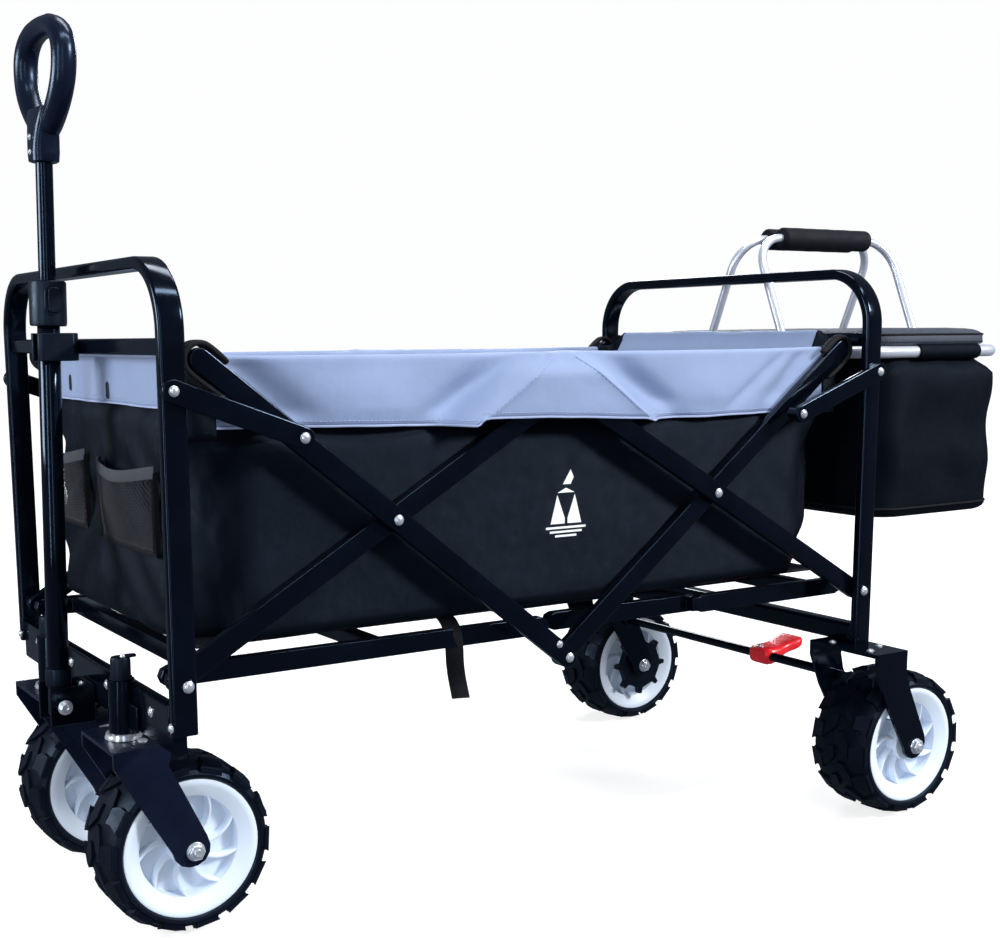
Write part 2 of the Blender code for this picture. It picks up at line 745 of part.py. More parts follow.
def make_brake_disc(side_name, side, finish):
    """Toothed ring on the inner face of a rear hub, with a gap under the pawl."""
    pitch = math.tau / BRAKE_TEETH
    first = brake_direction()
    outline = []
    for i in range(BRAKE_TEETH):
        for share, radius in (
            (0.34, BRAKE_ROOT_RADIUS),
            (0.42, BRAKE_DISC_RADIUS),
            (0.58, BRAKE_DISC_RADIUS),
            (0.66, BRAKE_ROOT_RADIUS),
        ):
            turn = first + pitch * (i + share)
            x = REAR_AXLE_X + radius * math.cos(turn)
            z = WHEEL_RADIUS + radius * math.sin(turn)
            outline.append((x, z))
    inner_face = REAR_WHEEL_Y - TYRE_WIDE / 2
    low, high = span(side, (inner_face - 0.0095, inner_face + 0.0005))
    bm = bmesh.new()
    prism(bm, outline, "y", low, high)
    centre = (REAR_AXLE_X, side * (inner_face - 0.0045), WHEEL_RADIUS)
    disc = place(bm, f"brake_disc_{side_name}", finish["plastic"], centre)
    bm = bmesh.new()
    prism(bm, circle(REAR_AXLE_X, WHEEL_RADIUS, AXLE_RADIUS + GAP, 12), "y", low - 0.01, high + 0.01)
    combine(disc, place(bm, "bore", None), "DIFFERENCE")


def make_brake(finish):
    """Brake bar with a pawl at each end, and its pedal."""
    axis = (BRAKE_BAR_X, 0.0, BRAKE_BAR_Z)
    tip = 0.2190
    bm = bmesh.new()
    lathe(bm, [(BRAKE_BAR_RADIUS, -tip), (BRAKE_BAR_RADIUS, tip)], axis, 12)
    bar = place(bm, "brake_bar", finish["frame"], axis)
    released = brake_direction() + math.pi + math.radians(30)
    end = (
        BRAKE_BAR_X + 0.037 * math.cos(released),
        BRAKE_BAR_Z + 0.037 * math.sin(released),
    )
    bm = bmesh.new()
    for side in SIDES.values():
        outline = stadium((BRAKE_BAR_X, BRAKE_BAR_Z), end, 0.006, 3)
        prism(bm, outline, "y", *span(side, (0.2125, 0.2187)))
    combine(bar, place(bm, "pawls", None), "UNION")
    bm = bmesh.new()
    outline = [
        (0.435, 0.150),
        (0.464, 0.150),
        (0.487, 0.158),
        (0.516, 0.172),
        (0.522, 0.184),
        (0.516, 0.194),
        (0.498, 0.193),
        (0.464, 0.180),
        (0.435, 0.180),
    ]
    prism(bm, outline, "y", PEDAL_Y - 0.021, PEDAL_Y + 0.021)
    pedal = place(bm, "brake_pedal", finish["red"], (BRAKE_BAR_X, PEDAL_Y, BRAKE_BAR_Z))
    bm = bmesh.new()
    hole = circle(BRAKE_BAR_X, BRAKE_BAR_Z, BRAKE_BAR_RADIUS + GAP, 12)
    prism(bm, hole, "y", PEDAL_Y - 0.05, PEDAL_Y + 0.05)
    combine(pedal, place(bm, "bore", None), "DIFFERENCE")


def make_tow_handle(finish):
    pivot = (TOW_X, 0.0, TOW_PIVOT_Z)
    centre = (TOW_X, 0.0, 0.0)
    bm = bmesh.new()
    profile = [
        (TOW_TUBE_RADIUS, 0.2035),
        (TOW_TUBE_RADIUS, TOW_TUBE_TOP),
        (TOW_TUBE_BORE, TOW_TUBE_TOP),
        (TOW_TUBE_BORE, 0.2265),
    ]
    lathe(bm, profile, centre, 20, "z")
    tube = place(bm, "tow_tube", finish["frame"], pivot)
    combine(tube, pin_holes([(TOW_X, TOW_PIVOT_Z)], -0.02, 0.02), "DIFFERENCE")
    make_tow_collar(centre, pivot, finish)
    bm = bmesh.new()
    profile = [(INNER_TUBE_RADIUS, INNER_TUBE_BOTTOM), (INNER_TUBE_RADIUS, GRIP_BOTTOM - GAP)]
    lathe(bm, profile, centre, 20, "z")
    place(bm, "tow_inner_tube", finish["frame"], (TOW_X, 0.0, INNER_TUBE_BOTTOM))
    make_tow_grip(finish)
    lean_tow_handle(Vector(pivot))


def lean_tow_handle(pivot):
    """The parked handle leans back a little, turned about its pivot bolt."""
    turn = Matrix.Rotation(TOW_LEAN, 4, "Y")
    for name in ("tow_tube", "tow_collar", "tow_lock_button", "tow_inner_tube", "tow_grip"):
        piece = bpy.data.objects[name]
        piece.data.transform(turn)
        piece.location = pivot + turn @ (piece.location - pivot)


def make_tow_collar(centre, pivot, finish):
    """Plastic collar on top of the tow tube, with a pocket for its button."""
    wide = TOW_TUBE_RADIUS + GAP
    narrow = INNER_TUBE_RADIUS + 0.0005
    step = TOW_TUBE_TOP + GAP
    bm = bmesh.new()
    profile = [
        (wide, COLLAR[0]),
        (COLLAR_RADIUS, COLLAR[0]),
        (COLLAR_RADIUS, COLLAR[1]),
        (narrow, COLLAR[1]),
        (narrow, step),
        (wide, step),
    ]
    lathe(bm, profile, centre, 20, "z", closed=True)
    collar = place(bm, "tow_collar", finish["plastic"], pivot)
    middle = 0.6315
    pocket = rounded_rect((TOW_X - 0.0065, middle - 0.013), (TOW_X + 0.0065, middle + 0.013), 0.004, 2)
    bm = bmesh.new()
    prism(bm, pocket, "y", -0.03, -0.0110)
    combine(collar, place(bm, "pocket", None), "DIFFERENCE")
    shape = rounded_rect((TOW_X - 0.006, middle - 0.0125), (TOW_X + 0.006, middle + 0.0125), 0.0037, 2)
    bm = bmesh.new()
    prism(bm, shape, "y", -0.0215, -0.0145)
    place(bm, "tow_lock_button", finish["plastic"], (TOW_X, -0.0215, middle))


def make_tow_grip(finish):
    """D-shaped grip: a loop across the wagon on a tapered neck."""
    radius = GRIP_THICK / 2
    half = GRIP_WIDE / 2 - radius
    low = GRIP_BOTTOM + 0.030
    high = GRIP_TOP - radius
    widest = 0.862
    path = []
    steps = 24
    for i in range(steps):
        turn = math.tau * i / steps
        s = math.sin(turn)
        rise = (high - widest) if s > 0 else (widest - low)
        taper = 1.0 if s > 0 else 1.0 - 0.52 * s * s
        path.append((TOW_X, half * taper * math.cos(turn), widest + rise * s))
    bm = bmesh.new()
    sweep(bm, path, circle(0.0, 0.0, radius, 10), (1.0, 0.0, 0.0), closed=True)
    grip = place(bm, "tow_grip", finish["foam"], (TOW_X, 0.0, GRIP_BOTTOM))
    bm = bmesh.new()
    lathe(bm, [(0.0142, GRIP_BOTTOM), (0.0175, low + 0.004)], (TOW_X, 0.0, 0.0), 16, "z")
    combine(grip, place(bm, "neck", None), "UNION")


def rim_path():
    low = (BASKET_RIM_X[0], -BASKET_RIM_Y)
    high = (BASKET_RIM_X[1], BASKET_RIM_Y)
    return rounded_rect(low, high, 0.045, 5)


def make_basket(finish):
    origin = (BASKET_RIM_X[0], 0.0, BASKET_RIM_Z)
    path = [(x, y, BASKET_RIM_Z) for x, y in rim_path()]
    bm = bmesh.new()
    sweep(bm, path, circle(0.0, 0.0, BASKET_RIM_RADIUS, 10), (0.0, 0.0, 1.0), closed=True)
    rim = place(bm, "basket_rim", finish["aluminium"], origin)
    bm = bmesh.new()
    for y in (-HANDLE_Y, HANDLE_Y):
        for end, way in ((0, -1), (1, 1)):
            start = BASKET_RIM_X[end] + way * 0.003
            stop = LEG_X[end] + way * 0.0045
            lathe(bm, [(0.003, start), (0.003, stop)], (0.0, y, HANDLE_Z), 10, "x")
    combine(rim, place(bm, "handle_pins", None), "UNION")
    make_basket_bag(origin, finish)
    make_basket_lid(finish)
    for side_name, side in SIDES.items():
        make_basket_handle(side_name, side, finish)


def make_basket_bag(origin, finish):
    inset = BASKET_RIM_RADIUS + 0.0006
    top = BASKET_RIM_Z + 0.004
    low = (BASKET_RIM_X[0] + inset, -BASKET_RIM_Y + inset)
    high = (BASKET_RIM_X[1] - inset, BASKET_RIM_Y - inset)
    bm = bmesh.new()
    prism(bm, rounded_rect(low, high, 0.037, 4), "z", BASKET_BOTTOM, top)
    shell = place(bm, "basket_bag", finish["fabric"], origin)
    low = (low[0] + BASKET_WALL, low[1] + BASKET_WALL)
    high = (high[0] - BASKET_WALL, high[1] - BASKET_WALL)
    bm = bmesh.new()
    prism(bm, rounded_rect(low, high, 0.034, 4), "z", BASKET_BOTTOM + BASKET_WALL, top + 0.02)
    combine(shell, place(bm, "inside", None), "DIFFERENCE")


def make_basket_lid(finish):
    low = (BASKET_RIM_X[0] - 0.005, -BASKET_RIM_Y - 0.005)
    high = (BASKET_RIM_X[1] + 0.005, BASKET_RIM_Y + 0.005)
    under = BASKET_RIM_Z + BASKET_RIM_RADIUS + 0.0006
    bm = bmesh.new()
    prism(bm, rounded_rect(low, high, 0.048, 4), "z", under, under + 0.013)
    place(bm, "basket_lid", finish["fabric"], (high[0], 0.0, under))


def make_basket_handle(side_name, side, finish):
    """U handle across the basket, leaning to the middle, with a foam sleeve."""
    pivot = (0.0, side * HANDLE_Y, HANDLE_Z)
    corner = 0.045
    long = HANDLE_LONG
    path = [(LEG_X[0], 0.0, 0.0)]
    steps = 4
    for end, first in ((0, math.pi), (1, math.pi / 2)):
        centre_x = LEG_X[end] + (corner if end == 0 else -corner)
        for i in range(steps + 1):
            turn = first - math.pi / 2 * i / steps
            path.append((centre_x + corner * math.cos(turn), 0.0, long - corner + corner * math.sin(turn)))
    path.append((LEG_X[1], 0.0, 0.0))
    lean = Matrix.Rotation(side * HANDLE_LEAN, 4, "X")
    place_at = Matrix.Translation(pivot) @ lean
    bm = bmesh.new()
    sweep(bm, path, circle(0.0, 0.0, LEG_RADIUS, 10), (0.0, 1.0, 0.0))
    for end in (0, 1):
        eye = [(0.0075, LEG_X[end] - 0.0035), (0.0075, LEG_X[end] + 0.0035)]
        ring = bmesh.new()
        lathe(ring, eye, (0.0, 0.0, 0.0), 12, "x")
        ring.transform(place_at)
        eye_object = place(ring, f"eye_{end}", None)
        if end == 0:
            first_eye = eye_object
        else:
            second_eye = eye_object
    bm.transform(place_at)
    origin = ((LEG_X[0] + LEG_X[1]) / 2, pivot[1], pivot[2])
    handle = place(bm, f"basket_handle_{side_name}", finish["aluminium"], origin)
    combine(handle, first_eye, "UNION")
    combine(handle, second_eye, "UNION")
    bm = bmesh.new()
    for end in (0, 1):
        reach = [(0.0034, LEG_X[end] - 0.009), (0.0034, LEG_X[end] + 0.009)]
        lathe(bm, reach, pivot, 10, "x")
    combine(handle, place(bm, "pin_bores", None), "DIFFERENCE")
    sleeve = [
        (LEG_RADIUS + GAP, LEG_X[0] + corner + 0.002),
        (FOAM_RADIUS, LEG_X[0] + corner + 0.002),
        (FOAM_RADIUS, LEG_X[1] - corner - 0.002),
        (LEG_RADIUS + GAP, LEG_X[1] - corner - 0.002),
    ]
    bm = bmesh.new()
    lathe(bm, sleeve, (0.0, 0.0, long), 14, "x", closed=True)
    bm.transform(place_at)
    place(bm, f"basket_grip_{side_name}", finish["foam"], origin)


def make_bag(finish):
    """Plain walls and floor of the fabric bag."""
    inner = BAG_Y - BAG_WALL
    for side_name, side in SIDES.items():
        y = span(side, (inner, BAG_Y))
        bm = bmesh.new()
        box(bm, (-BAG_X, y[0], BAG_FLOOR[0]), (BAG_X, y[1], BAG_TOP))
        place(bm, f"bag_side_{side_name}", finish["fabric"])
    reach = inner - GAP
    for name, way in (("bag_front_wall", -1), ("bag_rear_wall", 1)):
        x = sorted((way * BAG_X, way * (BAG_X - BAG_WALL)))
        bm = bmesh.new()
        box(bm, (x[0], -reach, BAG_FLOOR[0]), (x[1], reach, BAG_TOP))
        place(bm, name, finish["fabric"])
    end = BAG_X - BAG_WALL - GAP
    bm = bmesh.new()
    box(bm, (-end, -reach, BAG_FLOOR[0]), (end, reach, BAG_FLOOR[1]))
    place(bm, "bag_floor", finish["fabric"])


def centre_wagon():
    for obj in bpy.data.objects:
        obj.location.x -= MIDDLE_X
        obj.data.shade_smooth()
        obj.data.set_sharp_from_angle(angle=math.radians(35))


def main():
    clear_scene()
    finish = make_materials()
    make_front_frame(finish)
    make_front_wheels(finish)
    make_side_links(finish)
    make_floor(finish)
    make_rear_frame(finish)
    make_brake(finish)
    make_tow_handle(finish)
    make_basket(finish)
    make_bag(finish)
    centre_wagon()


main()
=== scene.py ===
"""Looks of the folding camp wagon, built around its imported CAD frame.

Lengths are in metres. Most places are given in wagon coordinates, where x = 0 is
the middle of the side scissors; MIDDLE moves them into the frame's coordinates.
"""

import math

import bmesh
import bpy
from mathutils import Matrix, Vector, noise


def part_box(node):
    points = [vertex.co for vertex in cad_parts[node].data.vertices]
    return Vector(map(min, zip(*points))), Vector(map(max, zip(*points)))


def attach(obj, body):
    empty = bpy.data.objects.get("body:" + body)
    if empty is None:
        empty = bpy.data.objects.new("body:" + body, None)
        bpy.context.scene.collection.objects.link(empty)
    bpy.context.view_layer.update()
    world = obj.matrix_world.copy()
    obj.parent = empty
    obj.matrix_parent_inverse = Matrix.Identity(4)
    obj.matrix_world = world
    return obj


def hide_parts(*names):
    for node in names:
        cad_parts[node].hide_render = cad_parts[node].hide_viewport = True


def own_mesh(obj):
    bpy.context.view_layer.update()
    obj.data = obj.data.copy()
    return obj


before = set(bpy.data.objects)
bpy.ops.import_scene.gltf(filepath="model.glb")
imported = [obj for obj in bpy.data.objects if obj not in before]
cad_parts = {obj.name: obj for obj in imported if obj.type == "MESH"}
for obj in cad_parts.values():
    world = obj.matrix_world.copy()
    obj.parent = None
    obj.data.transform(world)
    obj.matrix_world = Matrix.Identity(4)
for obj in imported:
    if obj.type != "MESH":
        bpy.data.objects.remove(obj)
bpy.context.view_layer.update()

X = Vector((1, 0, 0))
Y = Vector((0, 1, 0))
Z = Vector((0, 0, 1))
SIDES = {"left": -1, "right": 1}
ENDS = {"front": -1, "rear": 1}
HOME = {"front": "root", "rear": "rear_frame"}


def low(node):
    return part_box(node)[0]


def high(node):
    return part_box(node)[1]


def middle(node):
    return (low(node) + high(node)) / 2


MIDDLE = (low("front_hoop").x + high("rear_hoop").x) / 2
HOOP_OUT = high("front_hoop").y
TUBE_WIDE = 0.025
TUBE_THICK = 0.012
HOOP_IN = HOOP_OUT - TUBE_THICK
HOOP_CORNER = 0.062
LINK_WIDE = 0.022
STAY_WIDE = 0.021

# Rivet points of a side, in the plane of the side.
PIVOT = (0.440, 0.280)
TOP_PIVOT = (0.0, 0.537)
LOW_PIVOT = (0.0, 0.249)
HOOP_RIVET = (0.446, 0.547)
CROSS_X = 0.210
LINK_RIVET_X = 0.320
LINK_TIP_X = 0.412
CROSS_Z = PIVOT[1] + (PIVOT[0] - CROSS_X) * (TOP_PIVOT[1] - PIVOT[1]) / PIVOT[0]
SLOPE = (CROSS_Z - LOW_PIVOT[1]) / CROSS_X

# Layers of a side, as distances out from the middle plane.
OUTER_LAYER = (0.2336, 0.2436)
INNER_LAYER = (0.2232, 0.2332)
STAY_LAYER = (0.2564, 0.2634)

BAG_X = 0.424
BAG_Y = 0.2205
BAG_TOP = 0.577
BAG_LOW = 0.3005
BAG_CORNER = 0.022
BAND_HEM = 0.506
CUFF_HEM = 0.529


# ---------------------------------------------------------------- mesh tools


def smoothstep(a, b, t):
    s = min(1.0, max(0.0, (t - a) / (b - a)))
    return s * s * (3 - 2 * s)


def mix(a, b, t):
    return a + (b - a) * t


def bell(t):
    return math.exp(-t ** 2)


def folds(x, y, scale, seed=0.0):
    """Smooth noise between about -1 and 1."""
    return noise.noise(Vector((x * scale, y * scale, seed)))


def arc(centre, radius, first, last, steps):
    """Points of an arc, ends included, in degrees."""
    turns = [math.radians(mix(first, last, i / steps)) for i in range(steps + 1)]
    return [(centre[0] + radius * math.cos(t), centre[1] + radius * math.sin(t)) for t in turns]


def circle(radius, sides):
    return arc((0, 0), radius, 0, 360 - 360 / sides, sides - 1)


def stadium(wide, thick, steps=8):
    """Outline of a flat oval about its middle."""
    reach = (wide - thick) / 2
    return arc((reach, 0), thick / 2, -90, 90, steps) + arc((-reach, 0), thick / 2, 90, 270, steps)


def bar_outline(a, b, width, steps=10):
    """Outline of a bar with round ends between two points."""
    turn = math.degrees(math.atan2(b[1] - a[1], b[0] - a[0]))
    return arc(b, width / 2, turn - 90, turn + 90, steps) + arc(a, width / 2, turn + 90, turn + 270, steps)


def round_outline(half_x, half_y, radius, steps=6):
    """Outline of a rectangle with round corners."""
    x = half_x - radius
    y = half_y - radius
    points = []
    for i, corner in enumerate(((x, y), (-x, y), (-x, -y), (x, -y))):
        points += arc(corner, radius, 90 * i, 90 * i + 90, steps)
    return points


def loft(bm, rings, closed=False, caps=True):
    """Skin a list of rings of points."""
    made = [[bm.verts.new(p) for p in ring] for ring in rings]
    for a, b in zip(made, made[1:] + made[:closed]):
        for k in range(len(a)):
            m = (k + 1) % len(a)
            bm.faces.new((a[k], a[m], b[m], b[k]))
    if caps and not closed:
        bm.faces.new(made[0])
        bm.faces.new(made[-1])


def skin(columns):
    """An open sheet through columns of points."""
    bm = bmesh.new()
    made = [[bm.verts.new(p) for p in column] for column in columns]
    for a, b in zip(made, made[1:]):
        for j in range(len(a) - 1):
            bm.faces.new((a[j], b[j], b[j + 1], a[j + 1]))
    return bm


def tube(bm, path, section, up, closed=False, scale=None):
    """Sweep a section of (u, v) points along a path, with u along up."""
    up = Vector(up)
    points = [Vector(p) for p in path]
    last = len(points) - 1
    rings = []
    for i, point in enumerate(points):
        before = points[i - 1] if i or closed else point
        after = points[(i + 1) % len(points)] if i < last or closed else point
        across = (after - before).normalized().cross(up).normalized()
        size = scale(i / last) if scale else 1.0
        rings.append([point + (up * u + across * v) * size for u, v in section])
    loft(bm, rings, closed)


def place_on(point, axis=Z):
    """A frame at a point whose own z is along an axis."""
    return Matrix.Translation(point) @ Z.rotation_difference(Vector(axis)).to_matrix().to_4x4()


def lathe(bm, profile, at, sides=32, closed=False):
    """Turn a profile of (radius, height) about the z of a frame."""
    loft(bm, [[at @ Vector((u, v, height)) for u, v in circle(max(radius, 1e-5), sides)]
              for radius, height in profile], closed)


def prism(bm, outline, at, thick, edge=0.0, steps=3):
    """A plate with rounded edges: an outline in a frame's xy, thick along its z."""
    levels = [(0.0, 0.0)]
    if edge:
        turns = [math.pi / 2 * i / steps for i in range(steps + 1)]
        levels = [(edge * (1 - math.sin(t)), edge * (1 - math.cos(t))) for t in turns]
    levels += [(inset, thick - height) for inset, height in reversed(levels)]
    rings = []
    for inset, height in levels:
        ring = []
        for i, p in enumerate(outline):
            along = (Vector(outline[(i + 1) % len(outline)]) - Vector(outline[i - 1])).normalized()
            ring.append(at @ Vector((p[0] - along.y * inset, p[1] + along.x * inset, height)))
        rings.append(ring)
    loft(bm, rings)


def side_frame(side, out):
    """A frame in the plane of a side: x along +X, y up, z outward."""
    return Matrix.Translation(Y * side * out) @ Matrix((X, Z, Y * side)).transposed().to_4x4()


def to_mesh(name, bm, material):
    mesh = bpy.data.meshes.new(name)
    bm.to_mesh(mesh)
    bm.free()
    mesh.materials.append(material)
    return mesh


def link(name, data):
    obj = bpy.data.objects.new(name, data)
    bpy.context.scene.collection.objects.link(obj)
    return obj


def show(name, mesh, body, replaces, angle):
    """Let a mesh ride on a body in place of the CAD nodes that it replaces."""
    obj = link(name, mesh)
    mesh.shade_smooth()
    mesh.set_sharp_from_angle(angle=math.radians(angle))
    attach(obj, body)
    if replaces:
        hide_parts(*replaces)
    return obj


def piece(name, bm, material, body, angle=40, replaces=(), wagon=True):
    """A visible piece; its mesh is in wagon coordinates, or else in the frame's."""
    bmesh.ops.recalc_face_normals(bm, faces=bm.faces)
    mesh = to_mesh(name, bm, material)
    if wagon:
        mesh.transform(Matrix.Translation(X * MIDDLE))
    return show(name, mesh, body, replaces, angle)


def add(obj, kind, **values):
    """Add a modifier."""
    made = obj.modifiers.new(kind.lower(), kind)
    for key, value in values.items():
        setattr(made, key, value)


def bevel(obj, width, segments=2):
    add(obj, "BEVEL", width=width, segments=segments, limit_method="ANGLE", angle_limit=math.radians(32))


def thicken(obj, thick):
    add(obj, "SOLIDIFY", thickness=thick, offset=-1.0)


# ---------------------------------------------------------------- finishes

NAVY = {"Specular Tint": (0.45, 0.68, 1.0, 1.0)}


def wire(tree, node, inputs):
    """Set a node's inputs, or link them to other nodes' outputs."""
    for key, value in inputs.items():
        if isinstance(value, bpy.types.NodeSocket):
            tree.links.new(value, node.inputs[key])
        else:
            node.inputs[key].default_value = value


def finish(name, slot, color, rough, tint=0.12, tint_scale=25, spread=0.06, spread_scale=60,
           grain=(), weave=None, stretch=None, **sockets):
    """A procedural material: colour and roughness drift, plus grain or weave in relief; a weave also paints
    shade into the colour, darker between its threads and lighter on their crests.
    """
    made = bpy.data.materials.new(name)
    made.use_nodes = True
    tree = made.node_tree

    def node(kind, inputs, out=0, **values):
        new = tree.nodes.new("ShaderNode" + kind)
        for key, value in values.items():
            setattr(new, key, value)
        wire(tree, new, inputs)
        return new.outputs[out]

    def calc(kind, *values):
        return node("Math", dict(enumerate(values)), operation=kind)

    def span(value, low_in, high_in, low_out, high_out):
        ends = {"From Min": low_in, "From Max": high_in, "To Min": low_out, "To Max": high_out}
        return node("MapRange", {"Value": value, **ends})

    where = node("TexCoord", {}, "Object")
    placed = node("Mapping", {"Vector": where, "Scale": stretch}) if stretch else where

    def cloud(scale, detail=4):
        return node("TexNoise", {"Vector": placed, "Scale": scale, "Detail": detail}, "Fac")

    paint = node("ValToRGB", {"Fac": cloud(tint_scale)})
    for element, place, share in zip(paint.node.color_ramp.elements, (0.3, 0.7), (1 - tint, 1 + tint)):
        element.position = place
        element.color = (*[min(1.0, c * share) for c in color], 1.0)
    heights = []
    if weave:
        period, depth, flat = weave
        x, y, z = node("SeparateXYZ", {0: where}).node.outputs
        facing = node("SeparateXYZ", {0: node("TexCoord", {}, "Normal")})
        end_wall = calc("GREATER_THAN", calc("ABSOLUTE", facing), 0.75)
        across = x if flat else calc("ADD", x, calc("MULTIPLY", end_wall, calc("SUBTRACT", y, x)))
        waves = [calc("SINE", calc("MULTIPLY", v, math.tau / period)) for v in (across, y if flat else z)]
        thread = calc("MULTIPLY", *waves)
        heights.append((thread, depth))
        # painted shade: the colour is darkened in the hollows between the weave's threads and lightened on
        # their crests, following the relief's height
        painted_thread_shade = span(thread, -1, 1, 0.82, 1.18)
        paint = node("Mix", {"Factor": 1, 6: paint, 7: painted_thread_shade}, 2, data_type="RGBA", blend_type="MULTIPLY")
    heights += [(cloud(scale, 2), depth) for scale, depth in grain]
    shader = {"Base Color": paint, **sockets}
    shader["Roughness"] = span(cloud(spread_scale), 0.3, 0.7, max(0.02, rough - spread), rough + spread)
    for height, depth in heights:
        before = {"Normal": shader["Normal"]} if "Normal" in shader else {}
        shader["Normal"] = node("Bump", {"Strength": 1, "Distance": depth, "Height": height, **before})
    wire(tree, tree.nodes["Principled BSDF"], shader)
    return made


BLACK_GLOSS = finish("black_powder_coat", "frame", (0.0012, 0.0019, 0.0046), 0.13, tint=0.3, spread=0.04,
                     grain=[(900, 2e-5)], IOR=1.38, **NAVY)
BLACK_SATIN = finish("black_satin_coat", "frame", (0.0055, 0.0080, 0.0210), 0.30, tint=0.25,
                     grain=[(1400, 4e-5)], IOR=1.32, **NAVY)
ZINC = finish("zinc_plate", "fastener", (0.74, 0.78, 0.84), 0.25, tint=0.04, tint_scale=160, spread=0.04,
              spread_scale=120, grain=[(2200, 6e-6)], Metallic=0.72)
ALUMINIUM = finish("brushed_aluminium", "aluminium", (0.74, 0.78, 0.88), 0.30, tint=0.03, spread=0.03,
                   spread_scale=90, grain=[(260, 3e-6)], stretch=(1, 9, 9), Metallic=0.55)
BLACK_PLASTIC = finish("black_moulded_plastic", "plastic", (0.0026, 0.0040, 0.0080), 0.38, tint=0.2,
                       spread=0.08, grain=[(1800, 6e-5)], IOR=1.36, **NAVY)
GRIP_GLOSS = finish("grip_gloss_plastic", "grip", (0.0042, 0.0064, 0.0165), 0.26, tint=0.2, spread=0.05,
                    grain=[(300, 3e-5)], IOR=1.42, **NAVY)
RED_PLASTIC = finish("red_gloss_plastic", "pedal", (0.86, 0.018, 0.026), 0.27, tint=0.10,
                     grain=[(700, 5e-5)], **{"Coat Weight": 0.3, "Coat Roughness": 0.1})
WHITE_PLASTIC = finish("white_moulded_plastic", "hub", (0.73, 0.82, 0.94), 0.40, tint=0.035, tint_scale=14,
                       grain=[(900, 4e-5)])
RUBBER = finish("black_tyre_rubber", "tyre", (0.0022, 0.0030, 0.0072), 0.46, tint=0.3, tint_scale=40,
                spread=0.12, spread_scale=45, grain=[(650, 1e-4), (120, 2e-4)], IOR=1.38, **NAVY)
FOAM = finish("black_foam_sleeve", "grip", (0.0028, 0.0036, 0.0075), 0.70, tint=0.3, tint_scale=300,
              grain=[(900, 2.5e-4)], IOR=1.30)
BAG_CLOTH = finish("black_oxford_cloth", "bag_fabric", (0.0014, 0.0020, 0.0046), 0.48, tint=0.25,
                   tint_scale=18, spread=0.08, weave=(0.0013, 1.1e-4, False), grain=[(90, 4e-4)],
                   IOR=1.30, **NAVY)
BAND_CLOTH = finish("pale_band_cloth", "bag_band", (0.228, 0.302, 0.487), 0.6, tint=0.06, tint_scale=12,
                    weave=(0.0013, 1e-4, False), grain=[(60, 5e-4)],
                    **{"Sheen Weight": 0.15, "Sheen Roughness": 0.5})
HEM_CLOTH = finish("pale_hem_binding", "bag_band", (0.34, 0.41, 0.62), 0.55, tint=0.06,
                   weave=(0.0011, 1.2e-4, False))
FLOOR_CLOTH = finish("black_floor_cloth", "bag_fabric", (0.0020, 0.0028, 0.0056), 0.6, tint=0.25,
                     weave=(0.0013, 1.1e-4, True), grain=[(70, 5e-4)], IOR=1.30)
NET = finish("black_pocket_net", "mesh", (0.022, 0.023, 0.030), 0.55, tint=0.25, tint_scale=300,
             grain=[(1500, 8e-5)])
BINDING = finish("grey_elastic_binding", "webbing", (0.040, 0.045, 0.060), 0.7, tint=0.15,
                 weave=(0.0016, 2e-4, False))
WEBBING = finish("black_webbing", "webbing", (0.0022, 0.0030, 0.0056), 0.55, tint=0.3, tint_scale=200,
                 weave=(0.0022, 3e-4, False), IOR=1.32)
BASKET_CLOTH = finish("black_heather_cloth", "basket_fabric", (0.0011, 0.0016, 0.0040), 0.55, tint=0.45,
                      tint_scale=420, spread=0.08, weave=(0.0015, 1.2e-4, False), grain=[(70, 4e-4)],
                      IOR=1.22, **NAVY)
LID_CLOTH = finish("slate_lid_cloth", "basket_fabric", (0.022, 0.032, 0.054), 0.6, tint=0.35, tint_scale=420,
                   weave=(0.0015, 1.2e-4, True), grain=[(60, 4e-4)],
                   **{"Sheen Weight": 0.05, "Sheen Roughness": 0.4})
PRINT = finish("white_print", "bag_band", (0.86, 0.88, 0.90), 0.5, tint=0.05, weave=(0.0013, 6e-5, False))
THREAD = finish("pale_thread", "bag_band", (0.36, 0.40, 0.58), 0.6, tint=0.2, tint_scale=600,
                grain=[(2500, 8e-5)])
DARK_THREAD = finish("dark_thread", "webbing", (0.05, 0.055, 0.08), 0.6, tint=0.2, tint_scale=600,
                     grain=[(2500, 8e-5)])


# ---------------------------------------------------------------- frame


def dress(names, material, width):
    """Give CAD nodes a finish and soft edges."""
    for name in names:
        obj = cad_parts[name]
        obj.data.materials.clear()
        obj.data.materials.append(material)
        add(obj, "WELD", merge_threshold=2e-5)
        bevel(obj, width)
        add(obj, "WEIGHTED_NORMAL", keep_sharp=False)


def dress_frame():
    steel = ["front_cross_bar", "rear_cross_bar", "rear_beam", "front_beam", "tow_bracket"]
    dress(steel + ["floor_frame_front", "floor_frame_rear"], BLACK_GLOSS, 0.0012)
    dress(["brake_bar"], BLACK_GLOSS, 0.0005)
    dress(["tow_lock_button"], BLACK_PLASTIC, 0.0009)
    for side in SIDES:
        dress([f"caster_fork_{side}"], BLACK_SATIN, 0.0011)
        dress([f"wheel_bracket_{side}"], BLACK_GLOSS, 0.0012)
        dress([f"brake_disc_{side}"], BLACK_PLASTIC, 0.0008)


